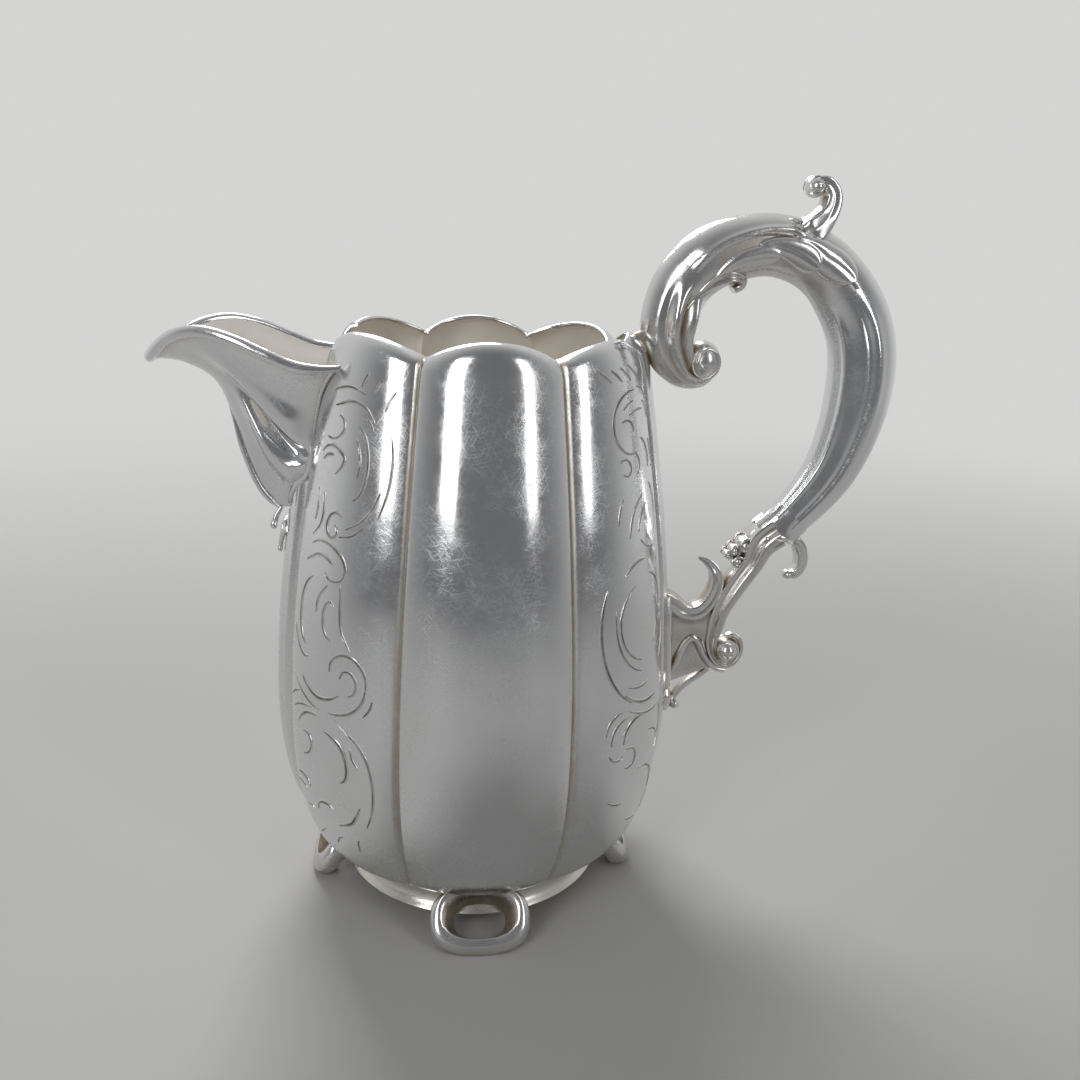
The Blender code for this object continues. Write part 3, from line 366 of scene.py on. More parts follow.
# %% Strokes of a lobe beside the spout
# width of the cut, then points of its line: millimetres across the lobe, towards the front, and height
SPOUT_STROKES = [
    (0.5, [(-2.5, 117.6), (0, 118.4), (3, 118.7), (6.5, 117.7)]),
    (0.65, [(-1.5, 114.8), (0.5, 115.4), (3, 116.1), (5, 116), (7, 115.2), (8.5, 113.8), (9.4, 112.6)]),
    (0.4, [(6.8, 114), (8.3, 112.8), (9.4, 111.2)]),
    (0.75, [(6, 111.8), (7.6, 110.2), (8.7, 107.5), (9.2, 104.5), (9, 101.5), (8.2, 99), (6.8, 97.7)]),
    (0.4, [(5.6, 109.6), (6.8, 107.4), (7.4, 104.6), (7.1, 102)]),
    (0.5, [(0.3, 113.2), (1.7, 112.4), (2.1, 110.8), (1, 109.3), (-1, 108.5), (-3, 108.7)]),
    (
        0.7,
        [(-4.3, 105.6), (-2.5, 106.9), (-0.3, 107.2), (1.6, 106.6), (3.2, 105.4), (2.7, 103.6), (1.2, 102)],
    ),
    (0.65, [(-3.5, 104.1), (-2, 105.3), (0, 105.5)]),
    (0.5, [(13.2, 110.5), (14, 107), (14.2, 103), (13.9, 99.5), (12.8, 95)]),
    (0.6, [(12.6, 100), (11.4, 96.8), (9.3, 94), (5.8, 92)]),
    (0.5, [(10, 93), (7.4, 91), (4.2, 90.3)]),
    (
        0.65,
        [(4.6, 94.2), (2.7, 94.8), (1.1, 93.9), (0.3, 92), (0.9, 90.3), (2.4, 89.8), (3.6, 91), (2.8, 92.4)],
    ),
    (0.5, [(-1.6, 98), (-1.3, 94.5), (-2, 91.5), (-4.6, 88.9)]),
    (0.4, [(-4, 98.5), (-3.6, 95), (-4.2, 92)]),
    (
        0.75,
        [(-4.4, 87.2), (-1.6, 88.4), (1.5, 88.4), (4, 87.5), (6, 86)]
        + [(6.8, 84), (6.1, 82.1), (4.4, 81.4), (2.4, 81.6), (1.2, 82.6)],
    ),
    (0.8, [(-6.1, 83.4), (-4, 84.6), (-1.5, 85.7), (1, 85.6), (3.2, 84.7)]),
    (0.85, [(-3.1, 80.7), (-5, 79.2), (-6.7, 76.5), (-7.4, 73.5), (-7, 70), (-5.8, 67.5), (-4.1, 66.1)]),
    (0.6, [(-10.5, 68.4), (-8.6, 66.4), (-6.5, 64.6), (-4.5, 63.7), (-2.9, 63.9)]),
    (0.55, [(2.3, 80.2), (0.7, 78.5), (-0.4, 76.5), (-0.8, 74)]),
    (0.65, [(4.6, 76.4), (3.5, 77.2), (2.2, 76.1), (1.6, 74), (2, 71.5), (3, 70), (4.5, 69.3)]),
    (0.5, [(6, 81), (6.2, 78), (6.4, 75.5), (7.2, 71.8), (9.6, 68.4)]),
    (
        0.7,
        [(4.6, 63), (4.9, 64.9), (6.2, 66.5), (8.2, 67.3)]
        + [(10.3, 67), (12.2, 65.7), (13.5, 63.5), (13.7, 61)],
    ),
    (0.7, [(13.7, 61), (13.2, 59), (12, 57), (9.8, 55.3), (7, 54.4), (4.6, 54.1)]),
    (0.5, [(7.4, 62.2), (8.4, 63.9), (10.2, 63.9), (11.4, 62.2), (11.1, 60), (9.6, 58.9)]),
    (0.4, [(15.3, 59.2), (14.7, 57.2), (13.4, 55.4)]),
    (0.8, [(-5.2, 59.4), (-3, 57.9), (-0.5, 56.8), (2.1, 56.5), (5, 57.2), (7.4, 58.6)]),
    (0.5, [(-9.6, 58.2), (-7, 56.8), (-4, 55.3), (-1, 54.3), (2, 53.8)]),
    (0.5, [(-12, 52), (-9, 54), (-6.4, 55.1)]),
    (0.55, [(-9.4, 50.4), (-7, 51.8), (-4, 52.9), (-1.2, 53.4)]),
    (0.75, [(-6.9, 47.9), (-5.3, 49.8), (-3.2, 51.4), (-1, 52.1), (1.3, 52.4)]),
    (0.65, [(-4.6, 46.9), (-2.8, 47.1), (-1.4, 46.2), (-1, 44.6), (-2.3, 42.6), (-4.5, 41.4)]),
    (
        0.85,
        [(3, 49.7), (5.5, 49.1), (7.6, 47.9), (8.8, 46.2), (9.4, 44.2), (9.5, 42), (8.9, 40.3), (7.8, 39.3)],
    ),
    (
        0.55,
        [(6.6, 53), (9.5, 51.3), (12, 49.3), (13.8, 46.8), (14.9, 43.8)]
        + [(15.4, 40), (15.2, 36), (14.3, 32.5), (13.2, 30)],
    ),
    (0.4, [(10.4, 48), (11, 45.6), (12.3, 43.8)]),
    (0.75, [(12.2, 34.6), (11, 32.3), (9.6, 30.2), (7.6, 29), (5.7, 28.2)]),
    (0.65, [(-1, 29.4), (0, 31.3), (1.6, 32.3), (3.4, 32.4), (4.9, 31.7)]),
    (0.7, [(-9, 34.8), (-6.5, 35.8), (-4.2, 35.4), (-2.8, 34.3)]),
    (0.55, [(-12, 31.2), (-9, 32.8), (-6.5, 33.1), (-4.9, 32.5)]),
    (0.5, [(-6, 28), (-4.2, 28.8), (-2.9, 28.4)]),
    (0.4, [(3.4, 22.4), (4.6, 24.2), (6, 25.2)]),
    (0.4, [(9.7, 22.6), (9.9, 24.4), (10.3, 26)]),
    (0.5, [(-3.2, 21.8), (-1.6, 23.2), (-0.2, 24.4)]),
    (0.5, [(5.3, 119), (5.7, 120.3), (6.4, 121.6)]),
    (0.5, [(8.4, 117.8), (8.9, 119.4), (9.8, 120.8)]),
    (0.5, [(11.2, 115), (11.8, 117), (12.8, 118.8)]),
]
print(len(SPOUT_STROKES), "strokes on a lobe beside the spout")

# %% Strokes of a lobe beside the handle
# width of the cut; its start, across and height in millimetres; its heading in degrees, 0 to the front and
# 90 up; its length; its turn in degrees, which takes the heading on; how much tighter it bends at its end
HANDLE_SCROLLS = [(0.5, 9 - 3 * k, 123 + 0.3 * k, -150, 3.5 + 0.5 * k, 15, 0) for k in range(4)]
HANDLE_SCROLLS += [
    (0.7, -1.5, 119, 5, 22, -205, 0.35),
    (0.45, -0.5, 117, -5, 4.5, -35, 0),
    (0.45, -4.5, 115, 8, 6.5, -30, 0),
    (0.5, 4.5, 113, 150, 5.5, 130, 0.4),
    (0.6, -3, 119.5, 188, 9.5, 60, 0),
    (0.5, -5.5, 116.5, 205, 5, 50, 0),
    (0.5, 6, 105.5, 140, 8, 270, 0.3),
    (0.45, 0.5, 102.5, 150, 5.5, -125, 0),
    (0.6, -2.5, 109.5, 205, 7.5, 80, 0),
    (0.5, -7.5, 108.5, 240, 6, 45, 0),
    (0.55, -1, 98.5, -25, 10.5, -60, 0),
    (0.45, -2.5, 96.5, -25, 7, -55, 0),
    (0.45, 6, 98.5, -55, 5.5, -30, 0),
    (0.6, -5, 100, 225, 11, 70, 0),
    (0.55, 1, 89.5, 230, 8, -70, 0),
    (0.7, 7, 83, 135, 8, 55, 0),
    (0.55, 4, 80.5, -25, 21, -140, 0),
    (0.5, 10, 76.5, -80, 18, -85, 0.35),
    (0.8, 12, 81, -68, 28, -80, 0.35),
    (0.6, -2, 82, 200, 11, 75, 0),
    (0.5, -4.5, 76, 240, 10.5, 85, 0),
    (0.65, -10, 74, 250, 13.5, 70, 0),
    (0.75, 8, 58, 222, 14, -57, 0),
    (0.5, 7, 59.5, 205, 8, -45, 0),
    (0.55, 6.5, 54, 208, 13.5, -32, 0),
    (0.75, 8, 47, 80, 10, 115, -0.4),
    (0.5, 11.5, 47.5, 80, 8.5, 105, 0),
    (0.5, 13, 50, 88, 7, 92, 0),
    (0.55, 7, 41, 200, 9.5, -235, 0),
    (0.45, 12, 45.5, 255, 5, -115, 0),
    (0.5, -0.5, 47, 182, 9.5, 62, 0),
    (0.6, -8.5, 50, 233, 11.5, 90, 0),
    (0.6, 2, 39, 178, 14.5, 95, 0),
    (0.5, -9, 28, 285, 4.5, 20, 0),
    (0.45, 11, 34, 222, 5, -42, 0),
    (0.45, 3.5, 26.5, 205, 7, -16, 0),
]
print(len(HANDLE_SCROLLS), "strokes on a lobe beside the handle")

# %% Strokes to flat lines


def scroll_line(across, height, heading, length, turn, tighter):
    """Line that bends as it runs: the heading grows with the share run, in part with that share squared."""
    t = np.linspace(0, 1, 24 + int(3 * length))
    ahead = np.radians(heading + turn * ((1 - tighter) * t + tighter * t**2))
    step = length / (len(t) - 1) * np.stack([np.cos(ahead), np.sin(ahead)], axis=-1)
    run = np.vstack([np.zeros((1, 2)), np.cumsum((step[1:] + step[:-1]) / 2, axis=0)])
    return np.array([across, height]) + run


def smooth_line(points, t):
    """Smooth curve through points: cubics whose slope at a point is half the step between its neighbours."""
    points = np.asarray(points, float)
    last = len(points) - 1
    place = np.clip(t, 0, 1) * last
    i = np.minimum(place.astype(int), last - 1)
    f = (place - i)[..., None]
    ends = np.vstack([2 * points[0] - points[1], points, 2 * points[-1] - points[-2]])
    a, b, c, d = ends[i], ends[i + 1], ends[i + 2], ends[i + 3]
    middle = b * (2 * f**3 - 3 * f**2 + 1) + c * (3 * f**2 - 2 * f**3)
    return middle + (c - a) / 2 * (f**3 - 2 * f**2 + f) + (d - b) / 2 * (f**3 - f**2)


spout_paths = [(width, smooth_line(line, np.linspace(0, 1, 11 * len(line)))) for width, line in SPOUT_STROKES]
handle_paths = [(width, scroll_line(*figures)) for width, *figures in HANDLE_SCROLLS]
print(len(spout_paths) + len(handle_paths), "lines drawn flat")

# %% Four engraved lobes
# section of a ribbon: widths across, lift from the wall in millimetres, and how dark the cut is painted,
# partly tarnish and partly painted shade in its bottom
RIBBON_ACROSS = np.array([-0.62, -0.52, -0.36, 0.0, 0.36, 0.52, 0.62, 0.4, 0.0, -0.4])
RIBBON_LIFT = np.array([-0.06, 0.07, 0.13, 0.015, 0.13, 0.07, -0.06, -0.3, -0.3, -0.3])
RIBBON_RECESS = np.array([0.0, 0.0, 0.25, 1.0, 0.25, 0.0, 0.0, 0.0, 0.0, 0.0])


def ribbon(path, width, middle, mirror):
    """Stroke on the wall: the path widened to each side, its ends drawn to a point, and laid on the lobe."""
    run = np.gradient(path, axis=0)
    run = run / np.linalg.norm(run, axis=-1, keepdims=True)
    normal = np.stack([-run[:, 1], run[:, 0]], axis=-1)
    swell = 1.25 * width * (0.18 + 0.82 * np.sin(math.pi * np.linspace(0, 1, len(path))) ** 0.6)
    flat = path[:, None] + normal[:, None] * (swell[:, None] * RIBBON_ACROSS)[..., None]
    angle = middle + mirror * flat[..., 0] / radius_at(flat[..., 1])
    rings = body_point(angle, share_at(flat[..., 1]), np.broadcast_to(RIBBON_LIFT, flat.shape[:2]))
    return bar(rings, np.broadcast_to(RIBBON_RECESS, flat.shape[:2]))


flank_middle = FRONT_HALF + FLANK_HALF
for lobe_name, middle, mirror, drawing in (
    ("engraving_front_spout_side", -math.pi / 2 - flank_middle, 1, spout_paths),
    ("engraving_front_handle_side", -math.pi / 2 + flank_middle, -1, handle_paths),
    ("engraving_back_spout_side", math.pi / 2 + flank_middle, -1, spout_paths),
    ("engraving_back_handle_side", math.pi / 2 - flank_middle, 1, handle_paths),
):
    strokes = [ribbon(path, width, middle, mirror) for width, path in drawing]
    piece(lobe_name, strokes, crease=70)

# %% [markdown]
# ## The helmet spout
# The spout is raised from sheet: a keel that sweeps out to the lip, cheeks that swell beside it and a mouth
# that widens over the rim. It is a function of two shares: u from the keel to the joint on the body, and v
# from the foot to the edge. Each row stops where it meets the wall of the body, so no edge shows inside.
# Sculpting could give this form too, but a function keeps both sides alike.

# %% Spout surface
SPOUT_ROOT = RIM_HEIGHT - 41.5
SPOUT_REACH = 27.2
SPOUT_RISE = 33.3
KEEL_SHARES = [
    (0.05, 0.0),
    (0.235, 0.165),
    (0.346, 0.39),
    (0.434, 0.646),
    (0.555, 0.871),
    (0.772, 0.976),
    (1, 1),
]
KEEL = np.array(KEEL_SHARES) * np.array([SPOUT_REACH, SPOUT_RISE])
SPOUT_WALL = 1.2
JOINT_RISE = 35.0
JOINT_INSET = 2.0
MOUTH_HALF = math.radians(36)
MOUTH_SWELL = 7.6
EDGE_SWELL = 1.5
CHEEK_RISE = 2.4
PANEL_RISE = 1.9
CREASE_DEPTH = 2.3
# shares of the way up the spout: the crease, its climb towards the keel and its width, then cheek and panel,
# whose places are counted from the crease
CREASE_PLACE = 0.425
CREASE_CLIMB = 0.185
CREASE_WIDTH = 0.05
CHEEK_PLACE, CHEEK_WIDTH = 0.17, 0.12
PANEL_PLACE, PANEL_WIDTH = -0.12, 0.09
WAIST = 0.53  # share of the mouth's half angle that is reached half way up
# lift of the edge in millimetres, at even steps from the keel to the joint
EDGE_LIFT = [(0,), (4.7,), (6.2,), (4.9,), (2.2,), (-0.4,), (-0.9,), (0,)]


def spout_point(u, v, inset=0.0):
    """Straight from keel to joint, swelled sideways by a sine, lifted at the edge, creased on the cheek."""
    u, v = np.broadcast_arrays(np.asarray(u, float), np.asarray(v, float))
    side = np.abs(u)
    here = smooth_line(KEEL, v)
    run = smooth_line(KEEL, np.minimum(v + 0.01, 1)) - smooth_line(KEEL, np.maximum(v - 0.01, 0))
    run = run / np.linalg.norm(run, axis=-1, keepdims=True)
    keel_x = -(radius_at(SPOUT_ROOT) + here[..., 0] - run[..., 1] * inset)
    keel_z = SPOUT_ROOT + here[..., 1] + run[..., 0] * inset
    joint_z = SPOUT_ROOT + JOINT_RISE * v
    radius = radius_at(joint_z) - JOINT_INSET
    waist = WAIST * ease(v / 0.5) + (1 - WAIST) * np.maximum(0, (v - 0.55) / 0.45) ** 2
    angle = MOUTH_HALF * waist - inset / radius
    x = keel_x + (-radius * np.cos(angle) - keel_x) * side
    y = radius * np.sin(angle) * side + MOUTH_SWELL * np.sin(math.pi * side**0.55) * v**2
    z = keel_z + (joint_z - keel_z) * side
    z = z + smooth_line(EDGE_LIFT, side / 1.05)[..., 0] * v**4
    y = y + EDGE_SWELL * np.sin(math.pi * side) * v**4
    fold = v - CREASE_PLACE - CREASE_CLIMB * (np.maximum(0.83 - side, 0) / 0.52) ** 2
    crease = np.exp(-((fold / CREASE_WIDTH) ** 2))
    cheek = np.exp(-(((fold - CHEEK_PLACE) / CHEEK_WIDTH) ** 2))
    panel = np.exp(-(((fold - PANEL_PLACE) / PANEL_WIDTH) ** 2))
    flank = ease((side - 0.12) / 0.3) * (1 - ease((side - 0.72) / 0.28))
    swell = (CHEEK_RISE * cheek + PANEL_RISE * panel - CREASE_DEPTH * crease) * flank
    y = y + swell * ease(side / 0.2) * 0.9
    x = x - swell * 0.45
    return np.stack([x, y * np.sign(u), z], axis=-1)


lip_place = spout_point(np.array([0.0]), 1.0)[0]
print("lip of the spout at", np.round(lip_place, 1), "mm")

# %% Where the spout meets the wall
JOINT_SINK = 0.4


def depth_in_wall(points):
    """How far points lie inside the outer wall of the body, seen from its axis."""
    angle = np.arctan2(points[..., 1], points[..., 0])
    wall = body_point(angle, share_at(points[..., 2]))
    return np.hypot(wall[..., 0], wall[..., 1]) - np.hypot(points[..., 0], points[..., 1])


def joint_share(v, inset):
    """The share u at which each row of the spout has sunk into the wall by the depth of the joint."""
    u = np.linspace(0, 1, 500)
    sunk = depth_in_wall(spout_point(u[None, :], v[:, None], inset)) > JOINT_SINK
    return np.where(sunk.any(axis=1), u[np.argmax(sunk, axis=1)], 1.0)


SPOUT_ROWS = 110
SPOUT_COLUMNS = 141
rows_v = np.linspace(0, 1, SPOUT_ROWS)
outer_v = 0.05 + 0.95 * rows_v
inner_v = 0.09 + 0.91 * rows_v
across = np.linspace(-1, 1, SPOUT_COLUMNS)
across = np.sign(across) * np.abs(across) ** 1.3
outer_joint = joint_share(outer_v, 0.0)
outer_joint = np.convolve(np.pad(outer_joint, 4, mode="edge"), np.full(9, 1 / 9), mode="valid")
inner_joint = joint_share(inner_v, SPOUT_WALL)
print("joint at", outer_joint.min().round(2), "to", outer_joint.max().round(2), "of the way to the wall")

# %% Skin of the spout with its beads
outer_skin = spout_point(across[None, :] * outer_joint[:, None], outer_v[:, None])
inner_skin = spout_point(across[None, :] * inner_joint[:, None], inner_v[:, None], SPOUT_WALL)
spout_rings = np.concatenate([outer_skin, inner_skin[:, ::-1]], axis=1)
spout_recess = np.zeros(spout_rings.shape[:2])
# tan along the joint with the body, and painted shade in a band under the rolled edge wire
spout_recess[:, :SPOUT_COLUMNS] = np.exp(-(((1 - np.abs(across[None, :])) / 0.05) ** 2))
spout_recess[:, :SPOUT_COLUMNS] += 0.8 * np.exp(-(((1 - outer_v[:, None]) / 0.035) ** 2))
spout_inside = np.zeros(spout_rings.shape[:2])
spout_inside[:, SPOUT_COLUMNS:] = 1.0


def wire(path, radius, sides=12):
    """Round wire along a path: a circle across the run, turned so that one of its arms stays level."""
    run = np.gradient(path, axis=0)
    run = run / np.linalg.norm(run, axis=-1, keepdims=True)
    level = np.cross(run, np.array([0.0, 0.0, 1.0]))
    level = level / np.maximum(np.linalg.norm(level, axis=-1, keepdims=True), 1e-6)
    other = np.cross(run, level)
    swing = np.linspace(0, 2 * math.pi, sides, endpoint=False)[None, :, None]
    radius = np.broadcast_to(np.asarray(radius, float), (len(path),))[:, None, None]
    return bar(path[:, None] + radius * (level[:, None] * np.cos(swing) + other[:, None] * np.sin(swing)))


def taper(count, ends=0.3):
    """Thickness along a wire: full in the middle, thinner over the last tenth at each end."""
    s = np.linspace(0, 1, count)
    return ends + (1 - ends) * ease(np.minimum(s, 1 - s) / 0.1)


BEAD_RADIUS = 0.42
BEAD_EXTRA = 0.33  # thicker below, where the joint is narrow
KEEL_RADIUS = 0.75
KEEL_STEPS = 80
thick = BEAD_RADIUS + BEAD_EXTRA * (1 - ease((outer_v - 0.36) / 0.1))
beads = []
for hand in (-1, 1):
    beads.append(wire(spout_point(hand * outer_joint * 0.97, outer_v), thick * taper(SPOUT_ROWS, 0.6)))
keel_v = np.linspace(0.05, 0.62, KEEL_STEPS)
keel_fade = ease((keel_v - 0.38) / 0.24)
keel_path = spout_point(1e-6, keel_v, 0.55 * keel_fade - 0.15)
beads.append(wire(keel_path, KEEL_RADIUS * taper(KEEL_STEPS, 0.5) * (1 - 0.7 * keel_fade)))
skin = slab(spout_rings, spout_recess, spout_inside)
piece("spout_skin", [skin] + beads, ["spout"], crease=50)

# %% Rolled wire along the edge
EDGE_STEPS = 260
EDGE_RADIUS = 1.15
EDGE_UP = 0.6
EDGE_OUT = 0.5
edge_u = np.linspace(-1, 1, EDGE_STEPS) * 0.995 * min(outer_joint[-1], 1.0)
edge = (spout_point(edge_u, 1.0) + spout_point(edge_u, 1.0, SPOUT_WALL)) / 2
below = (spout_point(edge_u, 0.95) + spout_point(edge_u, 0.95, SPOUT_WALL)) / 2
rise = edge - below
rise = rise / np.linalg.norm(rise, axis=-1, keepdims=True)
outwards = spout_point(edge_u, 1.0) - edge
outwards = outwards / np.linalg.norm(outwards, axis=-1, keepdims=True)
edge_wire = wire(edge + rise * EDGE_UP + outwards * EDGE_OUT, EDGE_RADIUS * taper(EDGE_STEPS, 0.6), 16)
piece("spout_edge", [edge_wire], ["spout_edge_wire"])

# %% [markdown]
# Below the spout's point hangs a small drop, and two sprigs cross on the strip under it. They are short
# wires that thin and thicken along smooth lines, with a ball where a drop is. A bevelled curve would do as
# well, but an array gives every ring its own thickness.

# %% Sprigs below the spout


def ball(centre, radii, rows=20, sides=28):
    """Ellipsoid: circles with the sine of the way between the poles as radius, its cosine as height."""
    way = np.linspace(0.02, math.pi - 0.02, rows)[:, None]
    swing = np.linspace(0, 2 * math.pi, sides, endpoint=False)[None, :]
    x = np.sin(way) * np.cos(swing)
    y = np.sin(way) * np.sin(swing)
    unit = np.stack([x, y, np.cos(way) + 0 * swing], axis=-1)
    return bar(np.asarray(centre, float) + unit * np.asarray(radii, float))


sprig_s = np.linspace(0, 1, 40)
DROP = [(-43.4, 0.0, 88.6), (-44.5, -0.1, 86.8), (-45.2, -0.2, 84.6)]
TWIG = [(-41.6, -3.4, 84.4), (-42.8, -2.2, 83.6), (-43.5, -1.0, 81.6), (-44.0, -0.4, 79.2)]
SPRIG_LEAF = [(-42.2, 2.4, 86.0), (-43.0, 1.0, 84.9), (-43.4, -0.2, 83.0), (-43.2, -1.2, 81.0)]
drop_line, twig_line, leaf_line = (smooth_line(line, sprig_s) for line in (DROP, TWIG, SPRIG_LEAF))
sprigs = [
    wire(drop_line, 0.5 + 0.25 * sprig_s),
    ball(drop_line[-1], (0.85, 0.85, 1.05)),
    wire(twig_line, 0.75 - 0.3 * sprig_s),
    ball(twig_line[-1], (0.6, 0.6, 0.8)),
    wire(leaf_line, 0.6 * np.sin(math.pi * (0.15 + 0.8 * sprig_s))),
]
piece("spout_sprigs", sprigs, ["spout_drop"])

# %% [markdown]
# ## The cast handle
# The handle was cast in pieces along one scroll: a stem that rolls up in a volute, a leaf over the top, the
# plain grip, a leaf collar and a bracket. All follow lines in the upright middle plane, so each piece is a
# section carried along its stretch of a line. The section changes with the place: ribs, veins and creases
# are added as narrow ridges at chosen angles round it, the same on both flanks. A curve with a bevel would
# keep one section all the way.

# %% Line of the handle and its sections
# out from the upper seat, up from the rim and width of the bar, as shares of the handle's size
HANDLE = [
    (0.331, -0.146, 0.165),
    (0.267, -0.203, 0.241),
    (0.178, -0.159, 0.443),
    (0.116, 0.0, 0.696),
    (0.156, 0.209, 0.81),
    (0.311, 0.344, 0.835),
    (0.551, 0.39, 0.797),
    (0.786, 0.296, 0.861),
    (0.958, 0.052, 0.987),
    (1.0, -0.251, 1.0),
    (0.926, -0.599, 0.835),
    (0.754, -0.858, 0.646),
    (0.591, -1.0, 0.557),
]
HANDLE_SIZE = np.array([50.1, 47.9, 15.8])
UPPER_SEAT = np.array([radius_at(124.0), RIM_HEIGHT])
HANDLE_LINE = np.array(HANDLE) * HANDLE_SIZE
HANDLE_END = UPPER_SEAT + HANDLE_LINE[-1, :2]
HANDLE_RATIO = 0.8  # depth of the bar over its width
LINE_STEP = 0.004


def places(line, seat, t):
    """Middle, side direction in the plane and half width of a bar at shares t of its line."""
    spot = smooth_line(line, t)
    run = smooth_line(line, np.minimum(t + LINE_STEP, 1)) - smooth_line(line, np.maximum(t - LINE_STEP, 0))
    run = run[..., :2] / np.linalg.norm(run[..., :2], axis=-1, keepdims=True)
    return spot[..., :2] + seat, np.stack([-run[..., 1], run[..., 0]], axis=-1), spot[..., 2] / 2


def around(sides):
    """Angles round a section, from the inner side of the bend by way of the outer one."""
    return np.linspace(-math.pi, math.pi, sides, endpoint=False)[None, :]


def sweep(line, seat, t, section, sides=96):
    """Rings along a line: section gives the offset along the side direction and the one across the plane."""
    t = np.broadcast_to(t if t.ndim == 2 else t[:, None], (len(t), sides))
    middle, side, half = places(line, seat, t)
    along, away = section(half, t, around(sides))
    x = middle[..., 0] + side[..., 0] * along
    z = middle[..., 1] + side[..., 1] * along
    return np.stack([x, away, z], axis=-1)


def ridge(swing, at, width):
    """Ridge on both flanks: a bell curve round the angle at, counted from the outer side of the bend."""
    return np.exp(-(((np.abs(swing) - at) / width) ** 2))


def oval(half, swing, ratio, lift, flat=1.2):
    """Oval section, a little flattened on its flanks, with a lift outwards along its radius."""
    c, s = np.cos(swing), np.sin(swing)
    return half * c + lift * c, ratio * half * np.sign(s) * np.abs(s) ** flat + lift * s


print("handle ends at", np.round(HANDLE_END, 1), "mm")

# %% [markdown]
# The stem has two ribs on each flank that run down into the volute. The volute closes on a round eye, and a
# short lug joins the stem to the shoulder of the body. Ribs of their own could be laid on the stem, but
# ridges in its section keep it one skin, with tarnish in the grooves between them.

# %% Section of the stem
RIB_PLACES = (1.58, 2.28)
GROOVE_PLACE = 1.93
EDGE_PLACE = 1.2


def rib_window(t):
    """Where the ribs of the stem show: from just behind the volute to below the leaf."""
    return ease((t - 0.02) / 0.06) * (1 - ease((t - 0.27) / 0.08))


def stem_section(half, t, swing):
    """Oval with two ribs on each flank and grooves beside them, fuller where it meets the body."""
    ribs = ridge(swing, RIB_PLACES[0], 0.2) + ridge(swing, RIB_PLACES[1], 0.2)
    ribs = ribs - ridge(swing, GROOVE_PLACE, 0.12) - 0.4 * ridge(swing, EDGE_PLACE, 0.14)
    fuller = 1.3 * np.exp(-(((t - 0.22) / 0.08) ** 2)) * ridge(swing, 0.0, 0.9)
    return oval(half, swing, HANDLE_RATIO, 0.24 * half * rib_window(t) * ribs + fuller)


def snail(centre, radii, first, turn, thick, steps=90):
    """Raised spiral on both sides of an eye: the radius shrinks to a quarter while the angle turns."""
    s = np.linspace(0, 1, steps)
    angle = np.radians(first + turn * s)
    reach = 1 - 0.75 * s
    x = centre[0] + radii[0] * reach * np.cos(angle)
    z = centre[1] + radii[2] * reach * np.sin(angle)
    y = radii[1] * np.sqrt(np.maximum(1 - reach**2, 0.02))
    return [wire(np.stack([x, hand * y, z], axis=-1), thick * (1 - 0.4 * s)) for hand in (-1, 1)]


def plain_section(ratio):
    """Oval section with nothing on it."""
    return lambda half, t, swing: oval(half, swing, ratio, 0.0, 1.0)


STEM_END = 0.36
STEM_SIDES = 96
stem_t = np.linspace(0, STEM_END, 170)
stem_turn = around(STEM_SIDES)
stem_grooves = ridge(stem_turn, GROOVE_PLACE, 0.13) + 0.6 * ridge(stem_turn, EDGE_PLACE, 0.12)
stem_grooves = 0.75 * rib_window(stem_t)[:, None] * stem_grooves
print("tarnish in the grooves of the stem up to", stem_grooves.max().round(2))

# %% Upper mount
LUG = np.array([(0.15, 0.02, 0.4), (0.06, -0.025, 0.34), (-0.052, -0.08, 0.4)]) * HANDLE_SIZE
EYE = UPPER_SEAT + np.array([0.27, -0.12]) * HANDLE_SIZE[:2]
EYE_SIZE = (3.9, 4.4, 4.3)
mount = [
    bar(sweep(HANDLE_LINE, UPPER_SEAT, stem_t, stem_section, STEM_SIDES), stem_grooves),
    # the lug is darkened by its recess value: painted shade in the gap between stem and body
    bar(sweep(LUG, UPPER_SEAT, np.linspace(0, 0.85, 24), plain_section(0.6), 40), 0.7),
    ball((EYE[0], 0, EYE[1]), EYE_SIZE, 30, 40),
]
mount += snail(EYE, EYE_SIZE, -120, 400, 0.55)
piece("handle_stem", mount, ["handle_upper_mount"])

# %% [markdown]
# A leaf wraps the top of the handle: a smooth band with a rolled edge outside and, on each flank, three
# petals that overlap like scales, the last one pointed over the grip. On the grid of the sweep a petal is a
# dome across a line of angles, and the highest of the domes counts. So the petals are real relief with a
# crisp edge, which a bump map would lose at the outline.

# %% Relief of the upper leaf
# places along the handle, and the angle at which the band ends there
BAND_PLACES = [0.36, 0.4, 0.44, 0.48, 0.51, 0.54]
BAND_EDGE = [1.45, 1.3, 1.2, 1.1, 1.05, 1.25]
# start and end of each petal along the handle, its line of angles, half width, bluntness and height
PETALS = [
    (0.385, 0.497, (2.0, 1.86, 1.84), 0.42, 7.0, 1.15),
    (0.465, 0.558, (1.5, 1.6, 1.78), 0.62, 6.0, 1.4),
    (0.515, 0.608, (1.2, 1.45, 1.4), 0.85, 2.6, 1.5),
]


def petal(t, fold, start, end, line, width, bluntness, height):
    """Petal: a dome across its line of angles, higher and wider towards its blunt or pointed end."""
    s = np.clip((t - start) / (end - start), 0, 1)
    middle = np.interp(s, np.linspace(0, 1, len(line)), line)
    half = width * s**0.6 * np.sqrt(1 - s**bluntness) + 1e-3
    dome = np.sqrt(np.clip(1 - ((fold - middle) / half) ** 2, 0, 1))
    vein = 0.14 * np.exp(-(((fold - middle) / 0.07) ** 2)) * ease(s / 0.3)
    return height * ((dome - vein) * (0.45 + 0.55 * s))


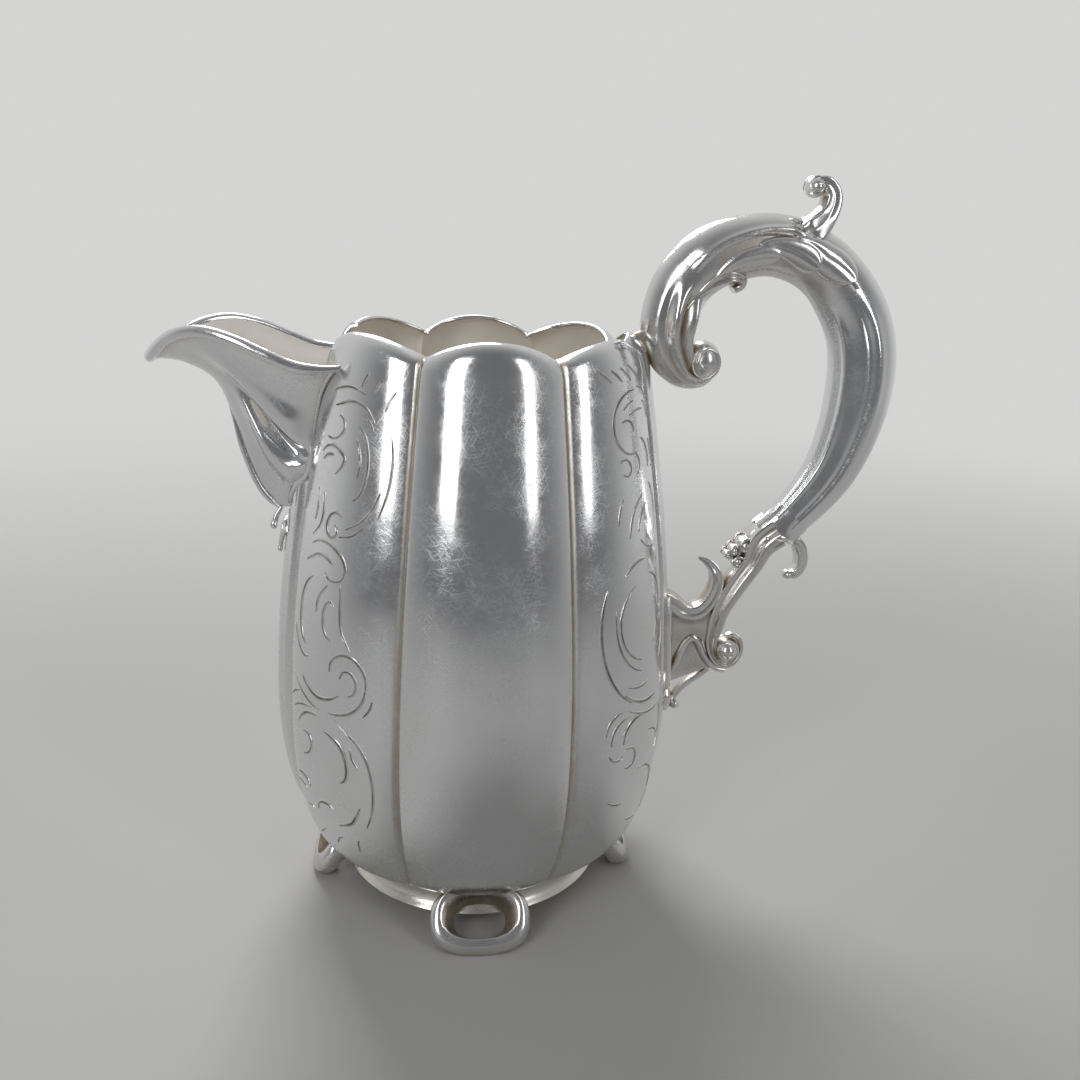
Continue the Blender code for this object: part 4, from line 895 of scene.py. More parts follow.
def leaf_relief(t, fold):
    """Band over the outside with a rolled edge, and three petals that overlap below it."""
    edge = np.interp(t, BAND_PLACES, BAND_EDGE)
    band = 0.45 * (1 - ease((fold - edge) / 0.12)) + 0.3 * np.exp(-(((fold - edge + 0.08) / 0.1) ** 2))
    band = band * ease((t - 0.35) / 0.04) * (1 - ease((t - 0.515) / 0.045))
    return np.maximum.reduce([band] + [petal(t, fold, *shape) for shape in PETALS])


print(len(PETALS), "petals on each flank")

# %% Upper leaf
LEAF_START = 0.34
LEAF_END = 0.618
LEAF_SIDES = 220


def leaf_section(half, t, swing):
    """Tube with the relief of the leaf on it, sunk a little where it meets the stem and the grip."""
    sunk = 0.06 * (1 - ease((t - 0.35) / 0.03)) + 0.05 * ease((t - 0.56) / 0.05)
    return oval(half, swing, HANDLE_RATIO, leaf_relief(t, np.abs(swing)) - sunk)


leaf_t = np.linspace(LEAF_START, LEAF_END, 280)
leaf_rings = sweep(HANDLE_LINE, UPPER_SEAT, leaf_t, leaf_section, LEAF_SIDES)
leaf_fold = np.abs(around(LEAF_SIDES))
leaf_run = leaf_t[:, None]
leaf_gap = 1 - ease(leaf_relief(leaf_run, leaf_fold) / 0.3)
leaf_gap = leaf_gap * ease((leaf_fold - 1.2) / 0.2) * (1 - ease((leaf_fold - 2.1) / 0.25))
leaf_gap = leaf_gap * ease((leaf_run - 0.38) / 0.03) * (1 - ease((leaf_run - 0.53) / 0.03))
piece("upper_leaf", [bar(leaf_rings, 0.55 * leaf_gap)], ["upper_leaf_sleeve"], crease=60)

# %% [markdown]
# Inside the bend a small leaf leaves the stem and ends in a hook. It is the same kind of sweep along a
# short line of its own. Its flanks are hollow, so that light falls on two edges; a plain bar would look
# like wire.

# %% Inner leaf with its hooked tip
INNER_LEAF = np.array(
    [
        (0.155, 0.12, 0.14),
        (0.195, 0.18, 0.2),
        (0.247, 0.222, 0.22),
        (0.305, 0.246, 0.2),
        (0.362, 0.256, 0.16),
        (0.402, 0.246, 0.12),
        (0.404, 0.216, 0.11),
        (0.376, 0.196, 0.1),
    ]
) * HANDLE_SIZE


def strip_section(half, t, swing):
    """Leaf laid across the bend: wide at its root, narrower at the tip, its flanks hollow."""
    wide = 4.9 - 2.9 * ease((t - 0.5) / 0.5)
    c, s = np.cos(swing), np.sin(swing)
    hollow = 1.1 * np.exp(-((c / 0.5) ** 2)) * (1 - ease((t - 0.6) / 0.3))
    return half * c, np.sign(s) * (wide * np.abs(s) ** 0.3 - hollow)


inner_leaf = [bar(sweep(INNER_LEAF, UPPER_SEAT, np.linspace(0, 1, 110), strip_section, 64))]
piece("inner_leaf_curl", inner_leaf, ["handle_inner_leaf"])

# %% [markdown]
# The grip is plain but not round: a sharp crease parts its inner face from the flank, and a soft ridge runs
# along the flank. Both are ridges in the section again, so they follow the bend of the tube.

# %% Grip
GRIP_START = 0.6
GRIP_END = 0.937
CREASE_ANGLE = 2.3
RIDGE_ANGLE = 1.35
GRIP_SINK = 0.05


def grip_section(half, t, swing):
    """Oval with a crease towards the inside, a soft ridge on the flank and a slightly hollow inner face."""
    crease = 0.1 * ridge(swing, CREASE_ANGLE, 0.1) + 0.05 * ridge(swing, RIDGE_ANGLE, 0.16)
    crease = crease - 0.05 * ridge(swing, 1.6, 0.1)
    hollow = 0.06 * ridge(swing, math.pi, 0.5) + 0.03 * ridge(swing, 1.9, 0.25)
    lift = half * (crease - hollow) * ease((t - 0.615) / 0.06)
    sunk = GRIP_SINK + 0.06 * (1 - ease((t - 0.607) / 0.011))
    return oval(half, swing, HANDLE_RATIO, lift - sunk)


grip = bar(sweep(HANDLE_LINE, UPPER_SEAT, np.linspace(GRIP_START, GRIP_END, 180), grip_section, 110))
piece("grip_tube", [grip], ["handle_grip"], crease=60)

# %% [markdown]
# A thumb rest stands on top: a strap that leaves the leaf, bends up and rolls back over a knob. Strap and
# knob are closed shells of one piece that run into each other, as soldered metal does, so no Boolean is
# needed.

# %% Thumb scroll on top


def strap_section(ratio, rim):
    """Oval with a raised border along each edge of both flanks and a hollow between them."""

    def section(half, t, swing):
        edges = ridge(swing, 0.85, 0.22) + ridge(swing, 2.3, 0.22)
        lift = rim * half * (edges - 0.9 * ridge(swing, 1.57, 0.3))
        return oval(half, swing, ratio, lift, 1.0)

    return section


THUMB = np.array(
    [
        (0.61, 0.43, 0.26),
        (0.685, 0.46, 0.42),
        (0.752, 0.535, 0.3),
        (0.77, 0.61, 0.25),
        (0.741, 0.66, 0.22),
        (0.695, 0.665, 0.2),
    ]
) * HANDLE_SIZE
KNOB = UPPER_SEAT + np.array([0.692, 0.648]) * HANDLE_SIZE[:2]
KNOB_SIZE = (2.1, 3.0, 2.2)
thumb = [
    bar(sweep(THUMB, UPPER_SEAT, np.linspace(0, 1, 110), strap_section(1.4, 0.2), 60)),
    ball((KNOB[0], 0, KNOB[1]), KNOB_SIZE, 24, 32),
]
thumb += snail(KNOB, KNOB_SIZE, 60, 400, 0.32)
piece("thumb_curl", thumb, ["thumb_scroll"])

# %% [markdown]
# ## The lower end of the handle
# A leaf collar flares out under the grip and throws a hook to the outside. From it a fluted strap runs down
# to a volute; a wing and a small arch branch off to the plate on the body. Each is a sweep again. Small
# curls fill the corner where the strap leaves the collar, as a caster adds them to hide a joint.

# %% Leaf collar and hook
COLLAR_START = 0.915
# angles round the section, and the place along the handle where the collar ends there
COLLAR_FOLD = [0.0, 1.15, 1.45, 1.75, 2.2, math.pi]
COLLAR_END = [0.936, 0.951, 0.963, 0.98, 0.98, 0.975]


def collar_end(swing):
    """The collar is cut on the slant: outside the bend it stops earlier than inside."""
    return np.interp(np.abs(swing), COLLAR_FOLD, COLLAR_END)


def collar_section(half, t, swing):
    """Oval that flares to a rolled lip on the outer side and stays close to the grip on the inner one."""
    w = (t - COLLAR_START) / (collar_end(swing) - COLLAR_START)
    outer = 1 - ease((np.abs(swing) - 1.6) / 0.5)
    lift = 0.15 * outer - 0.1 + outer * (0.85 * w**2.5 + 0.5 * np.exp(-(((w - 0.93) / 0.07) ** 2)))
    return oval(half, swing, HANDLE_RATIO, lift, 1.0)


HOOK = np.array(
    [
        (0.1, 0.05, 0.16),
        (0.16, 0.04, 0.2),
        (0.21, 0.005, 0.2),
        (0.232, -0.05, 0.19),
        (0.235, -0.105, 0.17),
        (0.214, -0.147, 0.15),
        (0.178, -0.155, 0.12),
    ]
) * HANDLE_SIZE
HOOK_TIP = HANDLE_END + HOOK[-1, :2]
COLLAR_SIDES = 108
collar_run = collar_end(around(COLLAR_SIDES)) - COLLAR_START
collar_t = COLLAR_START + np.linspace(0, 1, 60)[:, None] * collar_run
lower_leaf = [
    bar(sweep(HANDLE_LINE, UPPER_SEAT, collar_t, collar_section, COLLAR_SIDES)),
    bar(sweep(HOOK, HANDLE_END, np.linspace(0, 1, 90), strap_section(1.5, 0.18), 48)),
    ball((HOOK_TIP[0], 0, HOOK_TIP[1]), (1.2, 1.9, 1.2), 18, 24),
]
piece("lower_leaf", lower_leaf, ["lower_leaf_sleeve"])

# %% Lines of the bracket
LOWER_SEAT_HEIGHT = 60.0
LOWER_SEAT = np.array([radius_at(LOWER_SEAT_HEIGHT), LOWER_SEAT_HEIGHT])
BRACKET_SIZE = np.array([*(HANDLE_END - LOWER_SEAT), 7.6])
# out and up from the lower seat and width of the bar, as shares of the bracket's size
STRAP = [
    (0.97, 0.79, 0.84),
    (0.86, 0.61, 0.8),
    (0.75, 0.41, 0.74),
    (0.66, 0.21, 0.66),
    (0.615, 0.0, 0.6),
    (0.595, -0.2, 0.43),
    (0.665, -0.385, 0.38),
    (0.785, -0.47, 0.34),
    (0.9, -0.42, 0.31),
    (0.955, -0.29, 0.29),
    (0.93, -0.17, 0.26),
    (0.86, -0.115, 0.22),
    (0.79, -0.13, 0.17),
]
WING = [
    (0.36, 0.84, 0.1),
    (0.45, 0.8, 0.24),
    (0.55, 0.71, 0.36),
    (0.595, 0.58, 0.42),
    (0.58, 0.45, 0.46),
    (0.52, 0.325, 0.48),
    (0.43, 0.225, 0.5),
    (0.32, 0.19, 0.5),
    (0.2, 0.225, 0.52),
    (0.06, 0.32, 0.6),
    (-0.09, 0.38, 0.66),
]
ARCH = [
    (0.1, -0.6, 0.2),
    (0.18, -0.46, 0.24),
    (0.235, -0.29, 0.25),
    (0.29, -0.175, 0.25),
    (0.365, -0.125, 0.25),
    (0.44, -0.19, 0.25),
    (0.505, -0.33, 0.24),
    (0.59, -0.445, 0.23),
    (0.69, -0.52, 0.21),
    (0.79, -0.545, 0.19),
]
TAIL = [(0.6, -0.53, 0.14), (0.48, -0.62, 0.17), (0.38, -0.68, 0.19), (0.28, -0.77, 0.19), (0.2, -0.88, 0.17)]
STRAP_LINE = np.array(STRAP) * BRACKET_SIZE
top_spots, _, top_halves = places(HANDLE_LINE, UPPER_SEAT, np.array([0.93, 0.985]))
STRAP_LINE = np.vstack([np.column_stack([top_spots - LOWER_SEAT, 1.84 * top_halves]), STRAP_LINE])
BRACKET_EYE = LOWER_SEAT + np.array([0.79, -0.285]) * BRACKET_SIZE[:2]
BRACKET_EYE_SIZE = (2.9, 3.7, 2.9)
print("bracket reaches", np.round(BRACKET_SIZE[:2], 1), "mm out and up from its seat")

# %% Strap with its volute, wing, arch and tail
STRAP_SIDES = 96
STRAP_STEPS = 220


def fluted_section(half, t, swing):
    """Oval with three ribs along each flank."""
    ribs = ridge(swing, 0.8, 0.17) + ridge(swing, 1.57, 0.17) + ridge(swing, 2.35, 0.17)
    return oval(half, swing, 1.15, 0.26 * half * (ribs - 0.55), 1.0)


def on_bracket(line):
    """Line of a part of the bracket in millimetres from the lower seat."""
    return np.array(line) * BRACKET_SIZE


strap_t = np.linspace(0.03, 1, STRAP_STEPS)
strap_flutes = 0.6 * (ridge(around(STRAP_SIDES), 1.18, 0.16) + ridge(around(STRAP_SIDES), 1.96, 0.16))
wing_t = np.linspace(0, 0.97, 120)
wing_trough = 0.8 * ridge(around(60), math.pi, 0.8) * ease((wing_t[:, None] - 0.15) / 0.2)
bracket = [
    bar(sweep(STRAP_LINE, LOWER_SEAT, strap_t, fluted_section, STRAP_SIDES), strap_flutes),
    ball((BRACKET_EYE[0], 0, BRACKET_EYE[1]), BRACKET_EYE_SIZE, 28, 36),
    bar(sweep(on_bracket(WING), LOWER_SEAT, wing_t, strap_section(1.3, 0.22), 60), wing_trough),
    bar(sweep(on_bracket(ARCH), LOWER_SEAT, np.linspace(0, 1, 100), strap_section(2.0, 0.12), 48)),
    bar(sweep(on_bracket(TAIL), LOWER_SEAT, np.linspace(0, 1, 60), strap_section(1.8, 0.2), 48)),
]
bracket += snail(BRACKET_EYE, BRACKET_EYE_SIZE, -60, 420, 0.42)
print(len(bracket), "shells in the bracket")

# %% Thin fillings between strap, wing and arch


def web(top, low, thick):
    """Thin filling between two lines: joined straight across, and thickest half way between them."""
    s = np.linspace(0, 1, 24)
    upper = smooth_line(np.array(top) * BRACKET_SIZE[:2], s) + LOWER_SEAT
    lower = smooth_line(np.array(low) * BRACKET_SIZE[:2], s) + LOWER_SEAT
    across = np.linspace(0, 1, 14)[None, :, None]
    flat = upper[:, None] + (lower - upper)[:, None] * across
    swell = np.sqrt(np.sin(math.pi * np.clip(across[..., 0], 0.02, 0.98)))
    pillow = thick * (0.35 + 0.65 * swell) + 0 * s[:, None]
    near = np.stack([flat[..., 0], -pillow, flat[..., 1]], axis=-1)
    far = np.stack([flat[..., 0], pillow, flat[..., 1]], axis=-1)
    return bar(np.concatenate([near, far[:, ::-1]], axis=1), 0.3)


UNDER_WING = [(-0.02, 0.3), (0.12, 0.24), (0.27, 0.16), (0.42, 0.18), (0.56, 0.24)]
OVER_ARCH = [(0.1, -0.5), (0.2, -0.34), (0.3, -0.16), (0.4, -0.15), (0.56, -0.2)]
UNDER_ARCH = [(0.16, -0.5), (0.26, -0.26), (0.36, -0.15), (0.45, -0.24), (0.53, -0.4), (0.64, -0.5)]
OVER_TAIL = [(0.1, -0.7), (0.2, -0.66), (0.3, -0.62), (0.4, -0.58), (0.5, -0.55), (0.62, -0.52)]
bracket.append(web(UNDER_WING, OVER_ARCH, 1.5))
bracket.append(web(UNDER_ARCH, OVER_TAIL, 1.1))
drop_spot = LOWER_SEAT + np.array([0.22, -0.98]) * BRACKET_SIZE[:2]
bracket.append(ball((drop_spot[0], 0, drop_spot[1]), (1.25, 1.6, 1.3), 18, 24))
print(len(bracket), "shells with the fillings and the drop on the tail")

# %% Curls at the collar, and the whole bracket
# out and up from the lower seat, as shares of the bracket's size, and radius in millimetres
CURLS = [
    (1.0, 1.01, 1.5),
    (0.88, 1.0, 2.1),
    (0.94, 0.84, 1.4),
    (0.76, 0.94, 1.3),
    (0.81, 0.81, 1.5),
    (0.69, 0.89, 0.9),
]
CURL_STEPS = 50


def leaf_curl(out, up, size):
    """Curled leaf end: a ball across the plane, and on each side of it a wire that rolls inwards."""
    spot = LOWER_SEAT + np.array([out, up]) * BRACKET_SIZE[:2]
    deep = 1.1 + size
    curl = np.radians(np.linspace(-60, 330, CURL_STEPS))
    reach = size * np.linspace(1, 0.45, CURL_STEPS)
    ring = np.stack([spot[0] + reach * np.cos(curl), 0 * curl, spot[1] + reach * np.sin(curl)], axis=-1)
    sides = [ring + np.array([0.0, hand * 0.8 * deep, 0.0]) for hand in (-1, 1)]
    rolled = [wire(side, 0.4 * taper(CURL_STEPS, 0.4), 10) for side in sides]
    return rolled + [ball((spot[0], 0, spot[1]), (size * 0.95, deep, size * 0.95), 16, 20)]


for place_and_size in CURLS:
    bracket += leaf_curl(*place_and_size)
piece("bracket_scroll", bracket, ["lower_bracket"])

# %% [markdown]
# The plate under the bracket is a leaf with a raised border that narrows to a tail and ends in a round
# drop. It lies on the strip of the body, so it is drawn as a patch of the body's own surface, lifted by the
# plate's thickness. A flat plate would have to be bent to fit, with Shrinkwrap for example.

# %% Wall plate with its tail
PLATE_TOP = 68.5
PLATE_LENGTH = 30.0
PLATE_SINK = 0.3


def plate_half(share):
    """Half width from top to tail: a thin stem, a leaf as a squared sine and a round drop at the end."""
    leaf = np.sin(math.pi * (0.3 + 0.7 * share)) ** 2
    drop = np.sin(math.pi * np.clip((share - 1) / 0.2 + 1, 0, 1))
    return 1.2 + 3.6 * leaf + 1.2 * drop


plate_s = np.linspace(0, 1, 110)[:, None]
plate_a = np.linspace(-1, 1, 33)[None, :]
plate_z = PLATE_TOP - PLATE_LENGTH * plate_s + 0 * plate_a
plate_angle = plate_half(plate_s) / radius_at(plate_z) * plate_a
border = 0.35 * np.exp(-(((np.abs(plate_a) - 0.82) / 0.12) ** 2))
vein = 0.45 * np.exp(-((plate_a / 0.22) ** 2))
end_drop = 0.5 * np.sin(math.pi * np.clip((plate_s - 0.8) / 0.2, 0, 1))
crown = 0.5 + 0.7 * (1 - plate_a**2) + border + vein + end_drop
plate_out = body_point(plate_angle, share_at(plate_z), crown)
plate_in = body_point(plate_angle, share_at(plate_z), -PLATE_SINK)
plate = slab(np.concatenate([plate_out, plate_in[:, ::-1]], axis=1))
piece("wall_leaf", [plate], ["lower_wall_plate"], crease=60)

# %% [markdown]
# ## Base, collar and feet
# A waisted collar is soldered under the body, a domed disc closes the bottom, and four loops lean out from
# the collar. Collar and disc are turned, as on a lathe. A foot is a ring of ovals, from its round outside
# over the bright front edge and down a funnel to the hole. Where the ring meets the ground it is flat. A
# torus would be round all over and have no funnel.

# %% Collar and disc
BASE_HEIGHT = 11.2
COLLAR_CURVE = [(30.2, 11.1), (29.3, 9.6), (28.9, 7.8), (29.3, 5.9), (30.2, 4.8)]
COLLAR_LIP = [(30.4, 4.55), (30.2, 4.3), (29.6, 4.3)]
COLLAR_WALL = 1.7
DISC_RADIUS = 28.9
DISC_DOME = 1.5
DISC_WALL = 1.0
full_turn = np.linspace(0, 2 * math.pi, 240, endpoint=False)


def turned(outline):
    """Rings of a piece turned about the axis: each point of the outline carried round at its radius."""
    radius, height = np.asarray(outline, float).T
    x = radius[None, :] * np.cos(full_turn)[:, None]
    y = radius[None, :] * np.sin(full_turn)[:, None]
    return np.stack([x, y, np.broadcast_to(height[None, :], x.shape)], axis=-1)


collar_line = smooth_line(COLLAR_CURVE, np.linspace(0, 1, 36))
inner_line = collar_line[::-1] - np.array([COLLAR_WALL, 0.0])
collar = loop(turned(np.vstack([collar_line, COLLAR_LIP, inner_line])))
piece("collar_ring", [collar], ["base_collar"])

disc_r = np.linspace(0.05, DISC_RADIUS, 40)
disc_low = np.column_stack([disc_r, BASE_HEIGHT + DISC_DOME * (1 - (disc_r / DISC_RADIUS) ** 2)])
disc_line = np.vstack([disc_low + np.array([0.0, DISC_WALL]), disc_low[::-1]])
disc = bar(turned(disc_line).transpose(1, 0, 2))
piece("bottom_disc", [disc], ["base_disc"])

# %% Ovals of a foot
FOOT_LEAN = math.radians(35)
FOOT_HEAD = 0.52
FOOT_SINK = 0.4
FOOT_HALF = 10.9
RIDGE_HALF = 8.8
RIDGE_LIFT = 2.2
FOOT_BACK = 3.0
HEEL_INSET = 2.1
HOLE_HALF = 5.6
HOLE_HEIGHT = 3.5
HOLE_RISE = 6.9
foot_middle = (BASE_HEIGHT + FOOT_HEAD + FOOT_SINK) / math.cos(FOOT_LEAN) / 2
ridge_low = HOLE_RISE - HOLE_HEIGHT
ridge_half = foot_middle - ridge_low / 2
ridge_middle = ridge_low + ridge_half


def blend_loops(a, b, share):
    """Sizes between those of two ovals: half width, half height and rise."""
    return np.asarray(a, float) + (np.asarray(b, float) - np.asarray(a, float)) * share[:, None]


quarter = np.linspace(0, math.pi / 2, 12)
side_oval = (FOOT_HALF, foot_middle, foot_middle)
front_oval = (RIDGE_HALF, ridge_half, ridge_middle)
funnel_oval = (RIDGE_HALF - 0.3, ridge_half - 0.3, ridge_middle)
hole_oval = (HOLE_HALF, HOLE_HEIGHT, HOLE_RISE)
back_hole_oval = (HOLE_HALF + 0.2, HOLE_HEIGHT + 0.2, HOLE_RISE)
heel_oval = (RIDGE_HALF, foot_middle - HEEL_INSET, foot_middle)
funnel_s = np.linspace(0, 1, 14)[1:]
behind_s = np.linspace(0, 1, 8)
heel_turn = quarter[1:-1]
outside = blend_loops(side_oval, front_oval, 1 - np.cos(quarter))
funnel = blend_loops(funnel_oval, hole_oval, funnel_s**0.8)
behind = blend_loops(back_hole_oval, heel_oval, behind_s)
heel = blend_loops(heel_oval, side_oval, np.sin(heel_turn))
lifts = [
    RIDGE_LIFT * np.sin(quarter),
    RIDGE_LIFT - 2 * RIDGE_LIFT * funnel_s**1.3,
    np.full(len(behind), -FOOT_BACK),
    -FOOT_BACK * np.cos(heel_turn),
]
foot_loops = np.column_stack([np.vstack([outside, funnel, behind, heel]), np.concatenate(lifts)])
print(len(foot_loops), "ovals in a foot,", round(2 * FOOT_HALF, 1), "mm wide")

# %% Loop feet
FOOT_PLACE = 38.0
FOOT_INNER = 27.8
FOOT_SIDES = 120


def foot_rings(turn):
    """Ovals in a leaning plane, each a curve of power 2.5, turned about the axis to their side of the jug."""
    swing = np.linspace(0, 2 * math.pi, FOOT_SIDES, endpoint=False)[None, :]
    c, s = np.cos(swing), np.sin(swing)
    wide, tall, rise, lift = (foot_loops[:, k : k + 1] for k in range(4))
    across = wide * np.sign(c) * np.abs(c) ** 0.8
    along = rise + tall * np.sign(s) * np.abs(s) ** 0.8
    y = -FOOT_PLACE + along * math.sin(FOOT_LEAN) - lift * math.cos(FOOT_LEAN)
    z = np.maximum(-FOOT_SINK + along * math.cos(FOOT_LEAN) + lift * math.sin(FOOT_LEAN), 0.0)
    y = np.minimum(y, -FOOT_INNER)
    x_turned = across * math.cos(turn) - y * math.sin(turn)
    y_turned = across * math.sin(turn) + y * math.cos(turn)
    return np.stack([x_turned, y_turned, z], axis=-1)


foot_recess = np.zeros((len(foot_loops), FOOT_SIDES))
funnel_rows = len(funnel) + 1
# tan painted deeper down the funnel towards the hole: partly tarnish, partly painted shade
foot_recess[len(outside) : len(outside) + funnel_rows] = np.linspace(0.2, 1.0, funnel_rows)[:, None]
for quarter_turn, foot_name in enumerate(("foot_front", "foot_handle", "foot_back", "foot_spout")):
    piece(foot_name + "_loop", [loop(foot_rings(quarter_turn * math.pi / 2), foot_recess)], [foot_name])

# %% [markdown]
# ## The plated finish
# Old silver plate is bright where it is handled and polished, and tan where neither reaches: in the seams and
# round the ornament. Here the tan is partly tarnish and partly painted shade, laid where nearby metal blocks
# light and in the bottoms of seams and cuts, and the inside of the mouth is painted a pale cream, a painted
# light.
# Polishing leaves fine hairlines in all directions. Three groups of shader nodes hold these effects,
# hairlines, tarnish with painted shade, and rubbed patches, and every material places them with its own
# values. Painted textures could show the same, but nodes need no picture and fit every piece.

# %% Helpers for node trees


def add(tree, kind, **settings):
    """New node with the settings given by name."""
    node = tree.nodes.new(kind)
    for key, value in settings.items():
        setattr(node, key, value)
    return node


def feed(tree, value, socket):
    """Link a socket, or write a plain value on it."""
    if isinstance(value, bpy.types.NodeSocket):
        tree.links.new(value, socket)
    else:
        socket.default_value = value


def reckon(tree, operation, a, b, clamp=False):
    """Math node with two inputs; gives its output."""
    node = add(tree, "ShaderNodeMath", operation=operation, use_clamp=clamp)
    feed(tree, a, node.inputs[0])
    feed(tree, b, node.inputs[1])
    return node.outputs[0]


def span(tree, value, low, high, to_low=0.0, to_high=1.0):
    """Value between low and high carried smoothly to another range."""
    node = add(tree, "ShaderNodeMapRange", interpolation_type="SMOOTHSTEP")
    for socket, number in zip(node.inputs, (value, low, high, to_low, to_high)):
        feed(tree, number, socket)
    return node.outputs[0]


def noise(tree, vector, scale, detail=2.0, rough=0.5):
    """Noise over a vector, from about 0 to 1."""
    node = add(tree, "ShaderNodeTexNoise")
    feed(tree, vector, node.inputs["Vector"])
    node.inputs["Scale"].default_value = scale
    node.inputs["Detail"].default_value = detail
    node.inputs["Roughness"].default_value = rough
    return node.outputs["Fac"]


def group_of(name, inputs, outputs):
    """Node group with named sockets, and its two end nodes."""
    tree = bpy.data.node_groups.new(name, "ShaderNodeTree")
    for label, default in inputs:
        socket = tree.interface.new_socket(name=label, in_out="INPUT", socket_type="NodeSocketFloat")
        socket.default_value = default
    for label in outputs:
        tree.interface.new_socket(name=label, in_out="OUTPUT", socket_type="NodeSocketFloat")
    return tree, tree.nodes.new("NodeGroupInput"), tree.nodes.new("NodeGroupOutput")


# %% Hairlines: noise stretched along four directions, kept where it peaks
HAIR_TILTS = ((0.2, 0.5, 0.3), (-0.3, 1.3, 0.1), (0.4, 2.1, -0.5), (-0.2, 2.8, 0.6))
HAIR_STRETCH = (1 / 8500, 1 / 330, 1 / 330)
hairlines, hair_in, hair_out = group_of("hairlines", [("Density", 0.6)], ["Mask"])
hair_place = add(hairlines, "ShaderNodeTexCoord").outputs["Object"]
streaks = None
for tilt in HAIR_TILTS:
    turned_place = add(hairlines, "ShaderNodeMapping", vector_type="TEXTURE")
    feed(hairlines, hair_place, turned_place.inputs["Vector"])
    turned_place.inputs["Rotation"].default_value = tilt
    turned_place.inputs["Scale"].default_value = HAIR_STRETCH
    peak = span(hairlines, noise(hairlines, turned_place.outputs[0], 1.0, 1.0), 0.6, 0.72)
    streaks = peak if streaks is None else reckon(hairlines, "MAXIMUM", streaks, peak)
patches = span(hairlines, noise(hairlines, hair_place, 55.0), 0.3, 0.7, 0.45, 1.0)
streaks = reckon(hairlines, "MULTIPLY", streaks, patches)
streaks = reckon(hairlines, "MULTIPLY", streaks, hair_in.outputs["Density"], True)
feed(hairlines, streaks, hair_out.inputs["Mask"])
print("hairlines:", len(hairlines.nodes), "nodes")

# %% Tarnish and painted shade: drawn recesses, painted shade where nearby metal blocks light, and soft blotches
PAINTED_SHADE_REACH = 0.0035
tarnish_and_shade_inputs = [("Recess", 0.0), ("Reach", 0.5), ("Blotches", 0.2)]
tarnish_and_shade, tarnish_and_shade_in, tarnish_and_shade_out = group_of("tarnish_and_shade", tarnish_and_shade_inputs, ["Mask"])
tarnish_and_shade_place = add(tarnish_and_shade, "ShaderNodeTexCoord").outputs["Object"]
# ambient occlusion paints shade: tan where nearby metal blocks the light, within the reach
shade = add(tarnish_and_shade, "ShaderNodeAmbientOcclusion", samples=6)
shade.inputs["Distance"].default_value = PAINTED_SHADE_REACH
closeness = span(tarnish_and_shade, shade.outputs["AO"], 0.25, 0.85, 1.0, 0.0)
closeness = reckon(tarnish_and_shade, "MULTIPLY", closeness, tarnish_and_shade_in.outputs["Reach"])
uneven = span(tarnish_and_shade, noise(tarnish_and_shade, tarnish_and_shade_place, 240.0, 4.0, 0.6), 0.3, 0.65, 0.55, 1.1)
blotches = span(tarnish_and_shade, noise(tarnish_and_shade, tarnish_and_shade_place, 48.0, 5.0, 0.65), 0.5, 0.75)
blotches = reckon(tarnish_and_shade, "MULTIPLY", blotches, tarnish_and_shade_in.outputs["Blotches"])
deep = reckon(tarnish_and_shade, "MAXIMUM", closeness, tarnish_and_shade_in.outputs["Recess"])
deep = reckon(tarnish_and_shade, "MULTIPLY", deep, uneven)
feed(tarnish_and_shade, reckon(tarnish_and_shade, "MAXIMUM", deep, blotches, True), tarnish_and_shade_out.inputs["Mask"])
print("tarnish:", len(tarnish_and_shade.nodes), "nodes")

# %% Rubbed patches: slow waves as a height for bumps, and a fine change of gloss
rubbed, rub_in, rub_out = group_of("rubbed", [("Waves", 1.0)], ["Height", "Gloss"])
rub_place = add(rubbed, "ShaderNodeTexCoord").outputs["Object"]
waves = reckon(rubbed, "MULTIPLY", noise(rubbed, rub_place, 70.0, 1.0), rub_in.outputs["Waves"])
feed(rubbed, waves, rub_out.inputs["Height"])
feed(rubbed, span(rubbed, noise(rubbed, rub_place, 110.0, 5.0, 0.6), 0.3, 0.7), rub_out.inputs["Gloss"])
print("rubbed:", len(rubbed.nodes), "nodes")

# %% [markdown]
# A material is then short: silver, mixed to tan by the mask of tarnish and painted shade, with roughness
# raised by hairlines and by that mask. Inside the mouth the plate is dull and painted a pale cream, a painted
# light that stands for the light falling in; the mask of the body's inner face switches it on.

# %% Material of a plated piece
# pale cream inside the mouth and spout: painted light that stands for the light falling in from above
INSIDE_PAINTED_LIGHT = (0.93, 0.89, 0.82, 1.0)
HAIRLINE_DULL = 0.2
TARNISH_AND_SHADE_DULL = 0.3
INSIDE_DULL = 0.2
INSIDE_LOSS = 0.55  # how much of the metallic look the inside loses
HAIRLINE_DEPTH = 0.015
BUMP_STRENGTH = 0.25
BUMP_HEIGHT = 0.0006


def blend(tree, share, a, b):
    """Mix of two colours by a mask."""
    node = add(tree, "ShaderNodeMix", data_type="RGBA")
    feed(tree, share, node.inputs["Factor"])
    for socket, colour in ((node.inputs[6], a), (node.inputs[7], b)):
        feed(tree, colour, socket)
    return node.outputs[2]


def placed(tree, group, **values):
    """Node group in a material with its own values."""
    node = add(tree, "ShaderNodeGroup", node_tree=group)
    for label, value in values.items():
        feed(tree, value, node.inputs[label])
    return node.outputs


